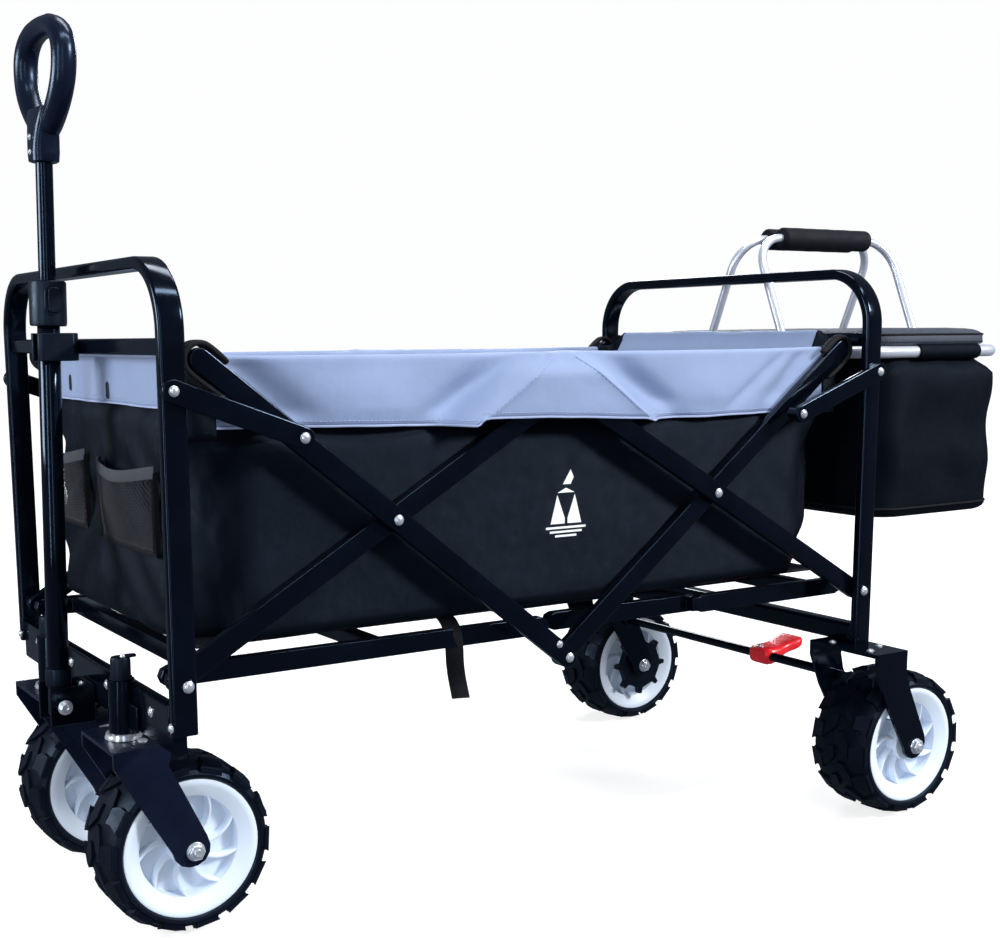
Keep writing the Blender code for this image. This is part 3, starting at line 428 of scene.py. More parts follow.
def make_hoops():
    """Bent tubes; the front one has shorter feet and stands a little higher."""
    half = HOOP_OUT - TUBE_THICK / 2
    flat = half - HOOP_CORNER
    for end, shorter, rise in (("front", 0.020, 0.003), ("rear", 0.0, 0.0)):
        bottom = low("front_hoop").z + shorter
        top = high(f"{end}_hoop").z - TUBE_THICK / 2 + rise - HOOP_CORNER
        path = [(-half, bottom), (-half, (bottom + top) / 2)] + arc((-flat, top), HOOP_CORNER, 180, 90, 20)
        path += arc((flat, top), HOOP_CORNER, 90, 0, 20) + [(half, (bottom + top) / 2), (half, bottom)]
        x = middle(f"{end}_hoop").x - MIDDLE
        bm = bmesh.new()
        tube(bm, [(x, y, z) for y, z in path], round_outline(TUBE_WIDE / 2, TUBE_THICK / 2, 0.0038, 5), X)
        piece(f"hoop_tube_{end}", bm, BLACK_GLOSS, HOME[end], 50, [f"{end}_hoop"])


def dome(bm, point, out, side, radius=0.0047, tall=0.0030):
    """Rivet head with a thin skirt, on a face at that distance out."""
    profile = [(radius * 0.6, -0.001), (radius * 1.12, -0.001), (radius * 1.12, 0.0004)]
    for across, up in arc((0, 0), 1, 0, 75, 5):
        profile.append((radius * across, mix(0.0007, tall, up)))
    lathe(bm, profile + [(radius * 0.05, tall)], place_on((point[0], side * out, point[1]), Y * side), 24)


def washer(bm, point, out, side, radius, thick):
    hole = radius * 0.4
    profile = [(hole, 0), (radius, 0), (radius, thick * 0.7), (radius * 0.94, thick), (hole, thick)]
    lathe(bm, profile, place_on((point[0], side * out, point[1]), Y * side), 28)


def make_links():
    """Scissor bars, stays and their rivets; a rivet rides on the bar that carries it."""
    face = OUTER_LAYER[1]
    for side_name, side in SIDES.items():
        for end, way in ENDS.items():
            inner, outer = (INNER_LAYER, OUTER_LAYER)[::-way]
            base = (way * PIVOT[0], PIVOT[1])
            hoop = (way * HOOP_RIVET[0], HOOP_RIVET[1])
            places = (CROSS_X, LINK_RIVET_X, LINK_TIP_X)
            cross, stay, tip = ((way * x, LOW_PIVOT[1] + x * SLOPE) for x in places)
            gaps = [(base, inner[1] + 0.0001, side, 0.009, HOOP_IN - inner[1] - 0.0004)]
            gaps.append((base, HOOP_OUT, side, 0.0070, 0.0010))
            spacer = (stay, face, side, 0.0066, STAY_LAYER[0] - face + 0.001)
            bars = (("long", "_link", "_links", base, TOP_PIVOT, LINK_WIDE, inner, 0.0018, gaps),
                    ("rim", "_link", "_links", LOW_PIVOT, tip, LINK_WIDE, outer, 0.0018, []),
                    ("stay", "", "s", hoop, stay, STAY_WIDE, STAY_LAYER, 0.0016, [spacer]))
            for kind, node, body, a, b, width, layer, edge, washers in bars:
                bm = bmesh.new()
                prism(bm, bar_outline(a, b, width), side_frame(side, layer[0]), layer[1] - layer[0], edge, 4)
                for values in washers:
                    washer(bm, *values)
                piece(f"{end}_{kind}_bar_{side_name}", bm, BLACK_GLOSS, f"{end}_{kind}{body}", 50,
                      [f"{end}_{kind}{node}_{side_name}"])
            crossing = [(cross, face)]
            if end == "front":
                crossing.append(((0.0008, LOW_PIVOT[1] + 0.0002), face))
                crossing.append(((-0.0130, LOW_PIVOT[1] + 0.0165), face, 0.0036, 0.0024))
            stays = [(hoop, STAY_LAYER[1], 0.0044), (stay, STAY_LAYER[1], 0.0046)]
            heads = (("base_rivet", "long_links", [(base, HOOP_OUT + 0.001, 0.0050, 0.0034)]),
                     ("cross_rivet", "rim_links", crossing), ("stay_rivets", "stays", stays))
            for name, body, domes in heads:
                bm = bmesh.new()
                for point, out, *shape in domes:
                    dome(bm, point, out, side, *shape)
                piece(f"{end}_{name}_{side_name}", bm, ZINC, f"{end}_{body}")


# ---------------------------------------------------------------- wheels

WHEEL_RADIUS = high("front_tyre_left").z / 2
TYRE_HALF = (high("front_tyre_left").y - low("front_tyre_left").y) / 2
TREAD = 0.0042
CARCASS = WHEEL_RADIUS - TREAD
HUB_RADIUS = 0.071
LUGS = 14
BLADES = 9
AXLE = place_on((0, 0, 0), Y)


def crown(y):
    """Radius of the rounded carcass at a distance from its middle plane."""
    return CARCASS - 0.0072 * min(1.0, abs(y) / TYRE_HALF) ** 4


def lug(bm, outline, share, short):
    """A tread block: an outline of (turn, y) raised from the carcass, a little smaller at its crest."""
    centre = [sum(values) / len(outline) for values in zip(*outline)]
    rings = []
    for size, rise in ((1.0, -0.0016), (share, TREAD - short)):
        ring = []
        for turn, y in outline:
            turn = mix(centre[0], turn, size)
            y = mix(centre[1], y, size)
            radius = crown(y) + rise
            ring.append((radius * math.sin(turn), y, radius * math.cos(turn)))
        rings.append(ring)
    loft(bm, rings)


def tyre_mesh():
    """One tyre about the origin, with its axle along y."""
    bm = bmesh.new()
    bead = HUB_RADIUS + 0.0004
    wall = [(bead, TYRE_HALF - 0.0022), (bead + 0.0015, TYRE_HALF - 0.0006), (bead + 0.0050, TYRE_HALF)]
    wall.append((CARCASS - 0.0095, TYRE_HALF - 0.0006))
    heights = [mix(0.003 - TYRE_HALF, TYRE_HALF - 0.003, i / 16) for i in range(17)]
    profile = [(radius, -y) for radius, y in wall] + [(crown(y), y) for y in heights] + wall[::-1]
    lathe(bm, profile, AXLE, 84, closed=True)
    pitch = math.tau / LUGS
    shoulder = [(-0.37, TYRE_HALF - 0.0006), (0.36, TYRE_HALF - 0.0006), (0.38, 0.032), (0.24, 0.0205),
                (-0.24, 0.0205), (-0.22, 0.032)]
    tongue = [(-0.14, 0.0205), (0.24, 0.0205), (0.62, 0.011), (0.66, 0.002), (0.26, 0.002), (0.02, 0.011)]
    cheek = [(-0.36, 0.0838), (0.35, 0.0838), (0.30, 0.0786), (-0.31, 0.0786)]
    for i in range(LUGS):
        for way in (-1, 1):
            turn = pitch * (i + 0.25 * way)
            lug(bm, [(turn + t * pitch, way * y) for t, y in shoulder], 0.8417, 0.0)
            lug(bm, [(turn + t * pitch, way * y) for t, y in tongue], 0.95, 0.0004)
            outline = [(r * math.sin(turn + t * pitch), r * math.cos(turn + t * pitch)) for t, r in cheek]
            prism(bm, outline, side_frame(way, TYRE_HALF - 0.0016), 0.0017)
    bmesh.ops.recalc_face_normals(bm, faces=bm.faces)
    return to_mesh("tyre", bm, RUBBER)


def hub_mesh():
    """One hub about the origin: a dished rim, a barrel, a boss and curved blades."""
    bm = bmesh.new()
    half = TYRE_HALF - 0.0012
    dish = half - 0.021
    profile = [(0.0053, half - 0.006), (0.0195, half - 0.006), (0.0205, half - 0.0075), (0.0215, dish)]
    profile += [(0.0505, dish), (0.0525, half - 0.0085), (0.0640, half - 0.0022), (0.0690, half - 0.0004)]
    profile.append((HUB_RADIUS, half - 0.0012))
    lathe(bm, [(radius, -y) for radius, y in profile] + profile[::-1], AXLE, 72, closed=True)
    for way in (-1, 1):
        for i in range(BLADES):
            rings = []
            for share in (k / 7 for k in range(8)):
                angle = math.tau * i / BLADES + 0.42 * share ** 1.5
                out = Matrix.Rotation(-angle, 3, "Y") @ X
                across = out.cross(Y) * 0.0016
                crest = mix(half - 0.0105, half - 0.0088, share)
                ring = []
                for wide, tall in ((1.5, dish - 0.001), (1.0, crest - 0.0008), (0.5, crest)):
                    ring.append(out * mix(0.0205, 0.0540, share) + across * wide + Y * way * tall)
                ring += [p - across * 2 * wide for p, wide in zip(ring[::-1], (0.5, 1.0, 1.5))]
                rings.append(ring)
            loft(bm, rings)
    bmesh.ops.recalc_face_normals(bm, faces=bm.faces)
    return to_mesh("hub", bm, WHITE_PLASTIC)


def nut(bm, at, radius=0.0088, tall=0.0062):
    """Flanged hexagon nut with the end of its bolt."""
    flange = radius * 1.12
    lathe(bm, [(0.005, 0), (flange, 0), (flange, 0.0010), (radius, 0.0016), (0.005, 0.0016)], at, 28)
    levels = ((radius, 0.0014), (radius, tall - 0.0012), (radius * 0.86, tall))
    loft(bm, [[at @ Vector((u, v, z)) for u, v in circle(size, 6)] for size, z in levels])
    bolt_end = [(0.0044, 0.001), (0.0044, tall + 0.0012), (0.0034, tall + 0.0020), (0.0012, tall + 0.0014)]
    lathe(bm, bolt_end, at, 20)


def make_wheels():
    shapes = (("tyre", tyre_mesh(), 34), ("hub", hub_mesh(), 42))
    for end, start in (("front", 0.35), ("rear", 1.15)):
        for side_name, side in SIDES.items():
            centre = middle(f"{end}_tyre_{side_name}")
            for kind, shape, angle in shapes:
                mesh = shape.copy()
                mesh.transform(Matrix.Translation(centre) @ Matrix.Rotation(start + 0.4 * side, 4, "Y"))
                show(f"{end}_{kind}_shape_{side_name}", mesh, f"{end}_wheel_{side_name}",
                     [f"{end}_{kind}_{side_name}"], angle)
            holder = f"caster_{side_name}" if end == "front" else "rear_frame"
            axle = f"caster_axle_{side_name}" if end == "front" else f"rear_axle_{side_name}"
            lo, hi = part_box(axle)
            bm = bmesh.new()
            for face, way in ((lo.y + 0.0066, -1), (hi.y - 0.0066, 1)):
                nut(bm, place_on((centre.x, face, centre.z), Y * way))
            at = place_on((centre.x, lo.y, centre.z), Y)
            lathe(bm, [(0.0046, 0.004), (0.0046, hi.y - lo.y - 0.004)], at, 20)
            bevel(piece(f"{end}_axle_bolt_{side_name}", bm, ZINC, holder, 35, [axle], wagon=False), 0.0003, 1)


# ---------------------------------------------------------------- casters and front hardware

STEM_X = -0.4577


def make_casters():
    """Washer, dust cap and rivets of each caster stem."""
    for side_name in SIDES:
        y = middle(f"caster_fork_{side_name}").y
        body = f"caster_{side_name}"
        bm = bmesh.new()
        profile = [(0.0163, 0.0006), (0.0182, 0.0006), (0.0182, 0.0026), (0.0174, 0.0038), (0.0170, 0.0060),
                   (0.0138, 0.0064), (0.0138, 0.0058), (0.0163, 0.0054)]
        lathe(bm, profile, place_on((STEM_X, y, 0.203)), 40, True)
        piece(f"caster_washer_{side_name}", bm, ZINC, body)
        bm = bmesh.new()
        lathe(bm, [(0.0104, 0), (0.0112, 0.0008), (0.0112, 0.0030), (0.0100, 0.0036), (0.0100, 0.0196),
                   (0.0090, 0.0226), (0.0040, 0.0236), (0.0005, 0.0236)], place_on((STEM_X, y, 0.2622)), 32)
        tab = place_on((STEM_X + 0.0085, y, 0.2835))
        prism(bm, round_outline(0.0075, 0.004, 0.003, 3), tab, 0.0028, 0.0008)
        piece(f"caster_cap_{side_name}", bm, BLACK_PLASTIC, body)
        bm = bmesh.new()
        for dy in (-0.022, 0.022):
            at = place_on((STEM_X + 0.012, y + dy, 0.2030))
            lathe(bm, [(0.0048, 0), (0.0048, 0.0010), (0.0030, 0.0022), (0.0004, 0.0024)], at, 20)
        at = place_on((STEM_X + 0.0008, y - 0.0052, 0.2862), (-0.3, -0.8, 0.3))
        lathe(bm, [(0.0024, -0.004), (0.0024, 0.0002), (0.0016, 0.0010), (0.0003, 0.0012)], at, 16)
        piece(f"caster_rivets_{side_name}", bm, ZINC, body)


def screw(bm, point, axis, radius, tall=0.0022):
    """Pan-head screw with a recess."""
    lathe(bm, [(radius * 1.3, -0.0006), (radius * 1.3, 0.0004), (radius, 0.0006), (radius * 0.92, tall * 0.7),
               (radius * 0.66, tall), (radius * 0.28, tall), (radius * 0.2, tall * 0.45),
               (radius * 0.02, tall * 0.4)], place_on(point, axis), 20)


def make_front_hardware():
    """Screws and gusset plates of the front beam, and the bolt of the tow handle."""
    screws = bmesh.new()
    plates = bmesh.new()
    for side in SIDES.values():
        for x, y, z, radius in ((-0.452, 0.060, 0.243, 0.0040), (-0.452, 0.188, 0.243, 0.0040),
                                (-0.4555, 0.250, 0.242, 0.0036), (-0.4563, 0.0135, 0.229, 0.0030)):
            screw(screws, (x, side * y, z), -X, radius)
        at = Matrix.Translation((-0.4533, side * 0.122, 0.2150))
        prism(plates, [(0, -0.036), (0, 0.036), (-0.0026, 0.036), (-0.0026, -0.036)], at, 0.026)
        plate = [(-0.4555, 0.235), (-0.4305, 0.235), (-0.4305, 0.262), (-0.4555, 0.262)]
        prism(plates, plate, side_frame(side, HOOP_IN - 0.0034), 0.0030)
    piece("front_beam_screws", screws, ZINC, "root")
    bevel(piece("front_gusset_plates", plates, BLACK_GLOSS, "root"), 0.0009)
    bolt = middle("tow_pivot_bolt")
    reach = high("tow_pivot_bolt").y
    bm = bmesh.new()
    nut(bm, place_on((bolt.x, reach - 0.0052, bolt.z), Y), 0.0072, 0.0050)
    at = place_on((bolt.x, -reach + 0.0052, bolt.z), -Y)
    lathe(bm, [(0.0078, 0), (0.0078, 0.0008), (0.0068, 0.0012), (0.0068, 0.0036), (0.0048, 0.0050),
               (0.0022, 0.0050), (0.0018, 0.0034), (0.0002, 0.0032)], at, 28)
    at = place_on((bolt.x, -reach + 0.004, bolt.z), Y)
    lathe(bm, [(0.0038, 0), (0.0038, 2 * reach - 0.008)], at, 20)
    piece("tow_pivot_bolt_shape", bm, ZINC, "root", 35, ["tow_pivot_bolt"], wagon=False)


# ---------------------------------------------------------------- tow handle

TOW_PIVOT = middle("tow_pivot_bolt")
TOW_LEAN = middle("tow_grip") - TOW_PIVOT
# A frame with z along the leaning tube, where a height is the one that it has with the tube upright.
TOW = Matrix.Translation(TOW_PIVOT) @ Matrix.Rotation(math.atan2(TOW_LEAN.x, TOW_LEAN.z), 4, "Y")
TOW = TOW @ Matrix.Translation(-Z * TOW_PIVOT.z)
GRIP_TURN = math.radians(3.8)


def make_handle_clip():
    """Spring clip on the cross bar: two arms with lips that close in front of the tube."""
    lo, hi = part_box("handle_clip")
    x = (TOW @ Vector((0, 0, (lo.z + hi.z) / 2))).x
    front = x - 0.0145
    inner = 0.0122
    outer = 0.0158
    half = [(hi.x, 0.0105), (hi.x - 0.006, outer), (front + 0.003, outer), (front, outer - 0.003)]
    half += [(front, 0.0086), (front + 0.0018, 0.0078), (front + 0.0040, 0.0100), (x - 0.006, inner)]
    half += [(x + 0.006, inner), (x + 0.0126, 0.0070)]
    bm = bmesh.new()
    prism(bm, half + [(u, -v) for u, v in half[::-1]], Matrix.Translation(Z * lo.z), hi.z - lo.z)
    bevel(piece("handle_clip_shape", bm, BLACK_PLASTIC, "root", 40, ["handle_clip"], wagon=False), 0.0008)


def make_tow_tubes():
    radius = 0.01125
    foot = TOW_PIVOT.z
    bm = bmesh.new()
    lathe(bm, [(0.0095, foot - 0.0108), (radius - 0.001, foot - 0.0112), (radius, foot - 0.010),
               (radius, 0.611), (radius - 0.0008, 0.612), (0.0091, 0.612), (0.0091, foot + 0.008)], TOW, 40)
    piece("tow_tube_shape", bm, BLACK_GLOSS, "tow_arm", 40, ["tow_tube"], wagon=False)
    bm = bmesh.new()
    lathe(bm, [(0.0078, 0.330), (0.0085, 0.331), (0.0085, 0.7657)], TOW, 36)
    piece("tow_inner_tube_shape", bm, BLACK_GLOSS, "tow_slider", 40, ["tow_inner_tube"], wagon=False)


def make_tow_collar():
    """Locking collar with a pocket round its button."""
    bm = bmesh.new()
    lathe(bm, [(0.0116, 0.606), (0.0172, 0.606), (0.0182, 0.6072), (0.0185, 0.610), (0.0185, 0.6485),
               (0.0179, 0.6502), (0.0165, 0.651), (0.0102, 0.651), (0.0092, 0.650), (0.0092, 0.621),
               (0.0116, 0.617)], TOW, 48, closed=True)
    at = TOW @ place_on((0, -0.0172, TOW_PIVOT.z + 0.4165), -Y) @ Matrix.Rotation(math.pi / 2, 4, "Z")
    levels = ((1.0, 1.0, 0.0), (0.97, 0.95, 0.0028), (0.86, 0.78, 0.0028), (0.86, 0.78, 0.0002))
    outline = stadium(0.030, 0.0175)
    rings = [[at @ Vector((u * long, v * wide, z)) for u, v in outline] for long, wide, z in levels]
    loft(bm, rings, caps=False)
    piece("tow_collar_shape", bm, BLACK_PLASTIC, "tow_arm", 32, ["tow_collar"], wagon=False)


def make_tow_grip():
    """D grip: an egg-shaped loop on a square tapered neck."""
    at = TOW @ Matrix.Rotation(GRIP_TURN, 4, "Z")
    widest = 0.862
    half = (high("tow_grip").y - low("tow_grip").y) / 2 - 0.0055
    path = []
    for c, s in arc((0, 0), 1, 2.5, 357.5, 71):
        taper = 1.0 if s > 0 else 1.0 - 0.56 * s * s
        across = math.copysign(abs(c) ** 0.80, c)
        lift = math.copysign(abs(s) ** 0.88, s) * (0.0335 if s > 0 else 0.0645)
        path.append(at @ Vector((0.003, half * taper * across, widest + lift)))
    bm = bmesh.new()
    tube(bm, path, [(u * 0.0122, v * 0.0104) for u, v in circle(1, 20)], X, closed=True)
    rings = []
    for z, half_x, half_y, corner in (
        (0.7662, 0.0122, 0.0122, 0.0100), (0.7672, 0.0136, 0.0136, 0.0090), (0.7760, 0.0140, 0.0138, 0.0080),
        (0.7880, 0.0134, 0.0150, 0.0075), (0.8000, 0.0122, 0.0182, 0.0080), (0.8090, 0.0112, 0.0225, 0.0090),
        (0.8180, 0.0090, 0.0240, 0.0080),
    ):
        rings.append([at @ Vector((u, v, z)) for u, v in round_outline(half_x, half_y, corner, 5)])
    loft(bm, rings)
    piece("tow_grip_shape", bm, GRIP_GLOSS, "tow_slider", 55, ["tow_grip"], wagon=False)
    bm = bmesh.new()
    for z in (0.7755, 0.7900):
        screw(bm, at @ Vector((-0.0140, 0, z)), -X, 0.0024)
    piece("tow_grip_screws", bm, ZINC, "tow_slider", 35, wagon=False)
    bm = bmesh.new()
    hole = at @ place_on((0, -0.0250, 0.9010), (-0.2, -0.45, 0.85))
    lathe(bm, [(0.0046, 0), (0.0046, 0.0016), (0.0034, 0.0016), (0.0030, 0.0008), (0.0003, 0.0008)], hole, 20)
    piece("tow_grip_hang_hole", bm, BLACK_PLASTIC, "tow_slider", 35, wagon=False)


def make_tow_foot():
    """Plastic boot at the foot of the tow tube."""
    bm = bmesh.new()
    levels = ((0.0114, 0.020), (0.0128, 0.020), (0.0132, 0.022), (0.0132, 0.034), (0.0124, 0.038),
              (0.0114, 0.038))
    lathe(bm, [(radius, TOW_PIVOT.z + z) for radius, z in levels], TOW, 36, closed=True)
    piece("tow_foot_sleeve", bm, BLACK_PLASTIC, "tow_arm", wagon=False)


# ---------------------------------------------------------------- brake


def make_brake():
    """Red pedal, its screw, the bushes of the bar and the bolts of the wheel brackets."""
    lo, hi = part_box("brake_pedal")
    bar = Vector((0.450 + MIDDLE, (lo.y + hi.y) / 2, 0.165))
    rings = []
    for dx, dz, tall, wide in (
        (-0.013, 0.0, 0.0115, 0.0195), (0.004, 0.0, 0.0125, 0.0200), (0.014, 0.002, 0.0095, 0.0200),
        (0.023, 0.0055, 0.0074, 0.0175), (0.032, 0.0085, 0.0068, 0.0175), (0.042, 0.0110, 0.0070, 0.0205),
        (0.050, 0.0135, 0.0068, 0.0215), (0.056, 0.0152, 0.0056, 0.0185), (0.0590, 0.0160, 0.0028, 0.0105),
    ):
        outline = round_outline(wide, tall, min(tall, wide) * 0.72, 5)
        rings.append([bar + Vector((dx, u, dz + v)) for u, v in outline])
    bm = bmesh.new()
    loft(bm, rings)
    pedal = piece("brake_pedal_shape", bm, RED_PLASTIC, "brake", 60, ["brake_pedal"], wagon=False)
    add(pedal, "SUBSURF", levels=1, render_levels=1)
    bm = bmesh.new()
    screw(bm, bar + Vector((-0.004, 0, 0.0122)), Z, 0.0030)
    piece("brake_pedal_screw", bm, ZINC, "brake", 35, wagon=False)
    bushes = bmesh.new()
    bolts = bmesh.new()
    inner = low("wheel_bracket_right").y
    for side in SIDES.values():
        at = place_on((bar.x, side * (inner - 0.0002), bar.z), -Y * side)
        bush = [(0.0064, 0), (0.0105, 0), (0.0105, 0.0028), (0.0092, 0.0040), (0.0064, 0.0040)]
        lathe(bushes, bush, at, 28, True)
        for x, y in ((0.4180, 0.2300), (0.4180, 0.2900), (0.4490, 0.2760)):
            screw(bolts, (x + MIDDLE, side * y, 0.2137), Z, 0.0038)
    piece("brake_bushes", bushes, BLACK_PLASTIC, "rear_frame", wagon=False)
    piece("wheel_bracket_bolts", bolts, ZINC, "rear_frame", 35, wagon=False)


# ---------------------------------------------------------------- bag
#
# A place on the bag's perimeter is (x, y, nx, ny), with the direction that faces out.

RIM_ROLL = 0.004
PANEL_STAND = 0.0262
SEAM_Z = (0.505, 0.572)
SEAMS = ((-0.1172, -0.0200), (0.1010, 0.0100))
SEAM_MIDDLES = [sum(seam) / 2 for seam in SEAMS]
HEM_POINTS = [(-0.40, 0.5110), (-0.20, 0.5062), (-0.1185, 0.5036), (-0.1125, 0.5112), (-0.03, 0.5098),
              (0.098, 0.5040), (0.110, 0.5010), (0.25, 0.5016), (0.40, 0.5030)]
SIDE_END = BAG_X - BAG_CORNER
WALL_END = BAG_Y - BAG_CORNER


def run(first, last, step):
    count = max(1, round(abs(last - first) / step))
    return [mix(first, last, i / count) for i in range(count + 1)]


def corner_points(x, y, first):
    return [(x + BAG_CORNER * u, y + BAG_CORNER * v, u, v) for u, v in arc((0, 0), 1, first, first + 90, 6)]


def main_perimeter():
    """Round the bag from its rear right corner, by the front wall, to its rear left corner."""
    marks = [-SIDE_END]
    for seam in SEAM_MIDDLES:
        marks += [seam + shift for shift in (-0.0060, -0.0012, 0.0, 0.0012, 0.0060)]
    along = [-SIDE_END]
    for a, b in zip(marks, marks[1:] + [SIDE_END]):
        along += run(a, b, 0.006)[1:]
    points = [(x, BAG_Y, 0, 1) for x in along[:0:-1]] + corner_points(-SIDE_END, WALL_END, 90)
    points += [(-BAG_X, y, -1, 0) for y in run(WALL_END, -WALL_END, 0.006)[1:-1]]
    return points + corner_points(-SIDE_END, -WALL_END, 180) + [(x, -BAG_Y, 0, -1) for x in along[1:]]


def rear_perimeter():
    wall = [(BAG_X, y, 1, 0) for y in run(-WALL_END, WALL_END, 0.0075)[1:-1]]
    return corner_points(SIDE_END, -WALL_END, 270) + wall + corner_points(SIDE_END, WALL_END, 0)


def placed(p, lift, z):
    x, y, nx, ny = p
    return (x + nx * lift, y + ny * lift, z)


def seam_x(seam, z):
    return mix(seam[0], seam[1], (z - SEAM_Z[0]) / (SEAM_Z[1] - SEAM_Z[0]))


def panel_stand(x, z):
    """How far the middle panel of the band stands off a side, over the top rivet."""
    left, right = (seam_x(seam, z) for seam in SEAMS)
    share = smoothstep(left - 0.040, left + 0.001, x) * (1 - smoothstep(right - 0.001, right + 0.036, x))
    return PANEL_STAND * share * mix(1.0, 0.42, smoothstep(0.550, 0.577, z))


def seam_ridge(x, z):
    """The lapped cloth just inside the two slanting seams."""
    left, right = (seam_x(seam, z) for seam in SEAMS)
    return 0.0021 * sum(smoothstep(-0.0014, 0, inside) * math.exp(-max(0, inside) / 0.012)
                        for inside in (x - left, right - x))


def along_points(points, x):
    """Height at x on a row of (x, height) points."""
    if x <= points[0][0]:
        return points[0][1]
    for a, b in zip(points, points[1:]):
        if x <= b[0]:
            return mix(a[1], b[1], (x - a[0]) / (b[0] - a[0]))
    return points[-1][1]


def slanted(p, z):
    """Shifts a place on a side so that two columns of the band lie on the slanting seams."""
    if abs(p[3]) < 0.99:
        return p
    shifts = [(middle_x, seam_x(seam, z) - middle_x) for seam, middle_x in zip(SEAMS, SEAM_MIDDLES)]
    return (p[0] + along_points([(-0.32, 0)] + shifts + [(0.30, 0)], p[0]), *p[1:])


def side_slack(x, z):
    """Hollows and swells of the band between the links and the middle panel."""
    low_part = 1 - smoothstep(0.535, 0.572, z)
    slack = 0.0
    for depth, top, foot, width, part in (
        (0.0150, -0.378, -0.300, 0.030, 1), (0.0110, -0.070, -0.160, 0.024, mix(0.35, 1, low_part)),
        (0.0115, 0.060, 0.160, 0.024, mix(0.5, 1, low_part)), (0.0080, 0.372, 0.300, 0.018, 1),
        (0.0035, 0.340, 0.235, 0.010, 1),
    ):
        slack -= depth * bell((x - mix(foot, top, (z - 0.505) / 0.072)) / width) * part
    swell = 0.0060 * bell((x + 0.225) / 0.050) + 0.0050 * bell((x - 0.215) / 0.040)
    return slack + swell * mix(0.4, 1.0, low_part)


def band_hem(p):
    """Height of the band's hem; it is higher on the end walls."""
    side_hem = along_points(HEM_POINTS, p[0]) + 0.0007 * folds(p[0], 0, 22, 3)
    return mix(side_hem, CUFF_HEM if p[2] < 0 else 0.530, abs(p[2]))


def band_lift(p, z):
    """Outward place of the band's outer face."""
    x, y, nx, ny = p
    wave = 0.0012 * folds(x + y, z, 11, 1 + ny) + 0.0006 * folds(x - y, z, 34, 5)
    if abs(ny) > 0.7:
        stand = panel_stand(x, z)
        slack = side_slack(x, z) * (1 - 0.6 * smoothstep(0.570, 0.577, z)) * (1 - stand / PANEL_STAND)
        slack *= 0.45 + 0.55 * smoothstep(0.508, 0.526, z)
        return 0.0016 + stand + seam_ridge(x, z) + slack + wave
    if nx > 0:
        return 0.0016 + 1.5 * wave
    droop = 0.0022 * math.sin(y * 40 + 0.6) * (1 - smoothstep(0.545, 0.575, z))
    lap = 0.0022 * smoothstep(0.088, 0.0895, y) * (1 - smoothstep(0.0895, 0.135, y))
    return 0.0026 + 1.3 * wave + droop + lap


def rim_height(p):
    """The rim dips a little along the sides and climbs over the rear cross bar."""
    x, y, nx, ny = p
    dip = 0.0016 * math.sin(math.pi * min(1.0, abs(x) / 0.40)) * abs(ny)
    share = smoothstep(BAG_Y, BAG_Y - 0.040, abs(y)) if x > 0.40 else 0.0
    climb = (0.0195 + 0.0014 * folds(0, y, 16, 3)) * share
    return BAG_TOP - dip + climb + 0.0006 * folds(x, y, 9, 7)


def inner_lift(p, z):
    """Outward place of the band's lining, which lies inside the black cloth."""
    x, y, nx, ny = p
    drop = rim_height(p) - z
    creases = 0.0035 * folds(x * 1.3 + y, z * 1.5, 12, 9 + ny) + 0.0016 * folds(x + y, z, 30, 2)
    reach = 0.6 * min(0.0, side_slack(x, z)) if abs(ny) > 0.7 else 0.0
    away = 0.0072 + 0.0130 * smoothstep(0.004, 0.034, drop)
    return reach - away + creases * (0.25 + smoothstep(0, 0.09, drop))


def cloth_lift(p, z):
    """Outward place of the black cloth, with its slack and its drawn folds."""
    x, y, nx, ny = p
    if abs(nx) > 0.7:
        behind_band = 0.0065 * smoothstep(0.514, 0.530, z)
        if nx > 0:
            return -0.001 + 0.0028 * folds(y, z, 10, 8) - behind_band
        draw = abs(y - 0.02) * 0.75 + z - 0.33
        slack = 0.0034 * math.sin(draw * 92) * bell((z - 0.40) / 0.085) - 0.0035 * bell((z - 0.46) / 0.06)
        return slack + 0.0030 * folds(y * 1.6, z, 13, 4) - behind_band
    lean = 0.0024 * folds(x + z * 1.4, z * 0.5, 7.5, 11 + ny) * (1 - 0.4 * smoothstep(BAG_LOW, 0.50, z))
    drawn = 0.0030 * math.sin((abs(x) * 0.9 + z) * 60) * smoothstep(0.25, 0.40, abs(x))
    behind_band = 0.0085 * smoothstep(0.488, 0.504, z)
    behind_band -= 0.7 * min(0.0, side_slack(x, z)) * smoothstep(0.504, 0.520, z)
    return -0.0022 + lean + 0.0008 * folds(x - z * 0.8, z, 19, 13) + min(0.0, drawn) - behind_band


def pulled(p, point):
    """The black cloth pulls in at the upright corners, most of all at the bottom."""
    x, y, nx, ny = p
    z = point[2]
    depth = smoothstep(0.535, 0.450, z) + 0.7 * smoothstep(0.375, 0.308, z)
    near = smoothstep(0.345, 0.4245, abs(x)) if abs(ny) > 0.7 else smoothstep(0.145, 0.2210, abs(y))
    pull = near * depth * (1 + 0.25 * folds(x + y, z, 17, 31))
    return (point[0] - math.copysign(0.024 * pull, x), point[1] - math.copysign(0.017 * pull, y), z)


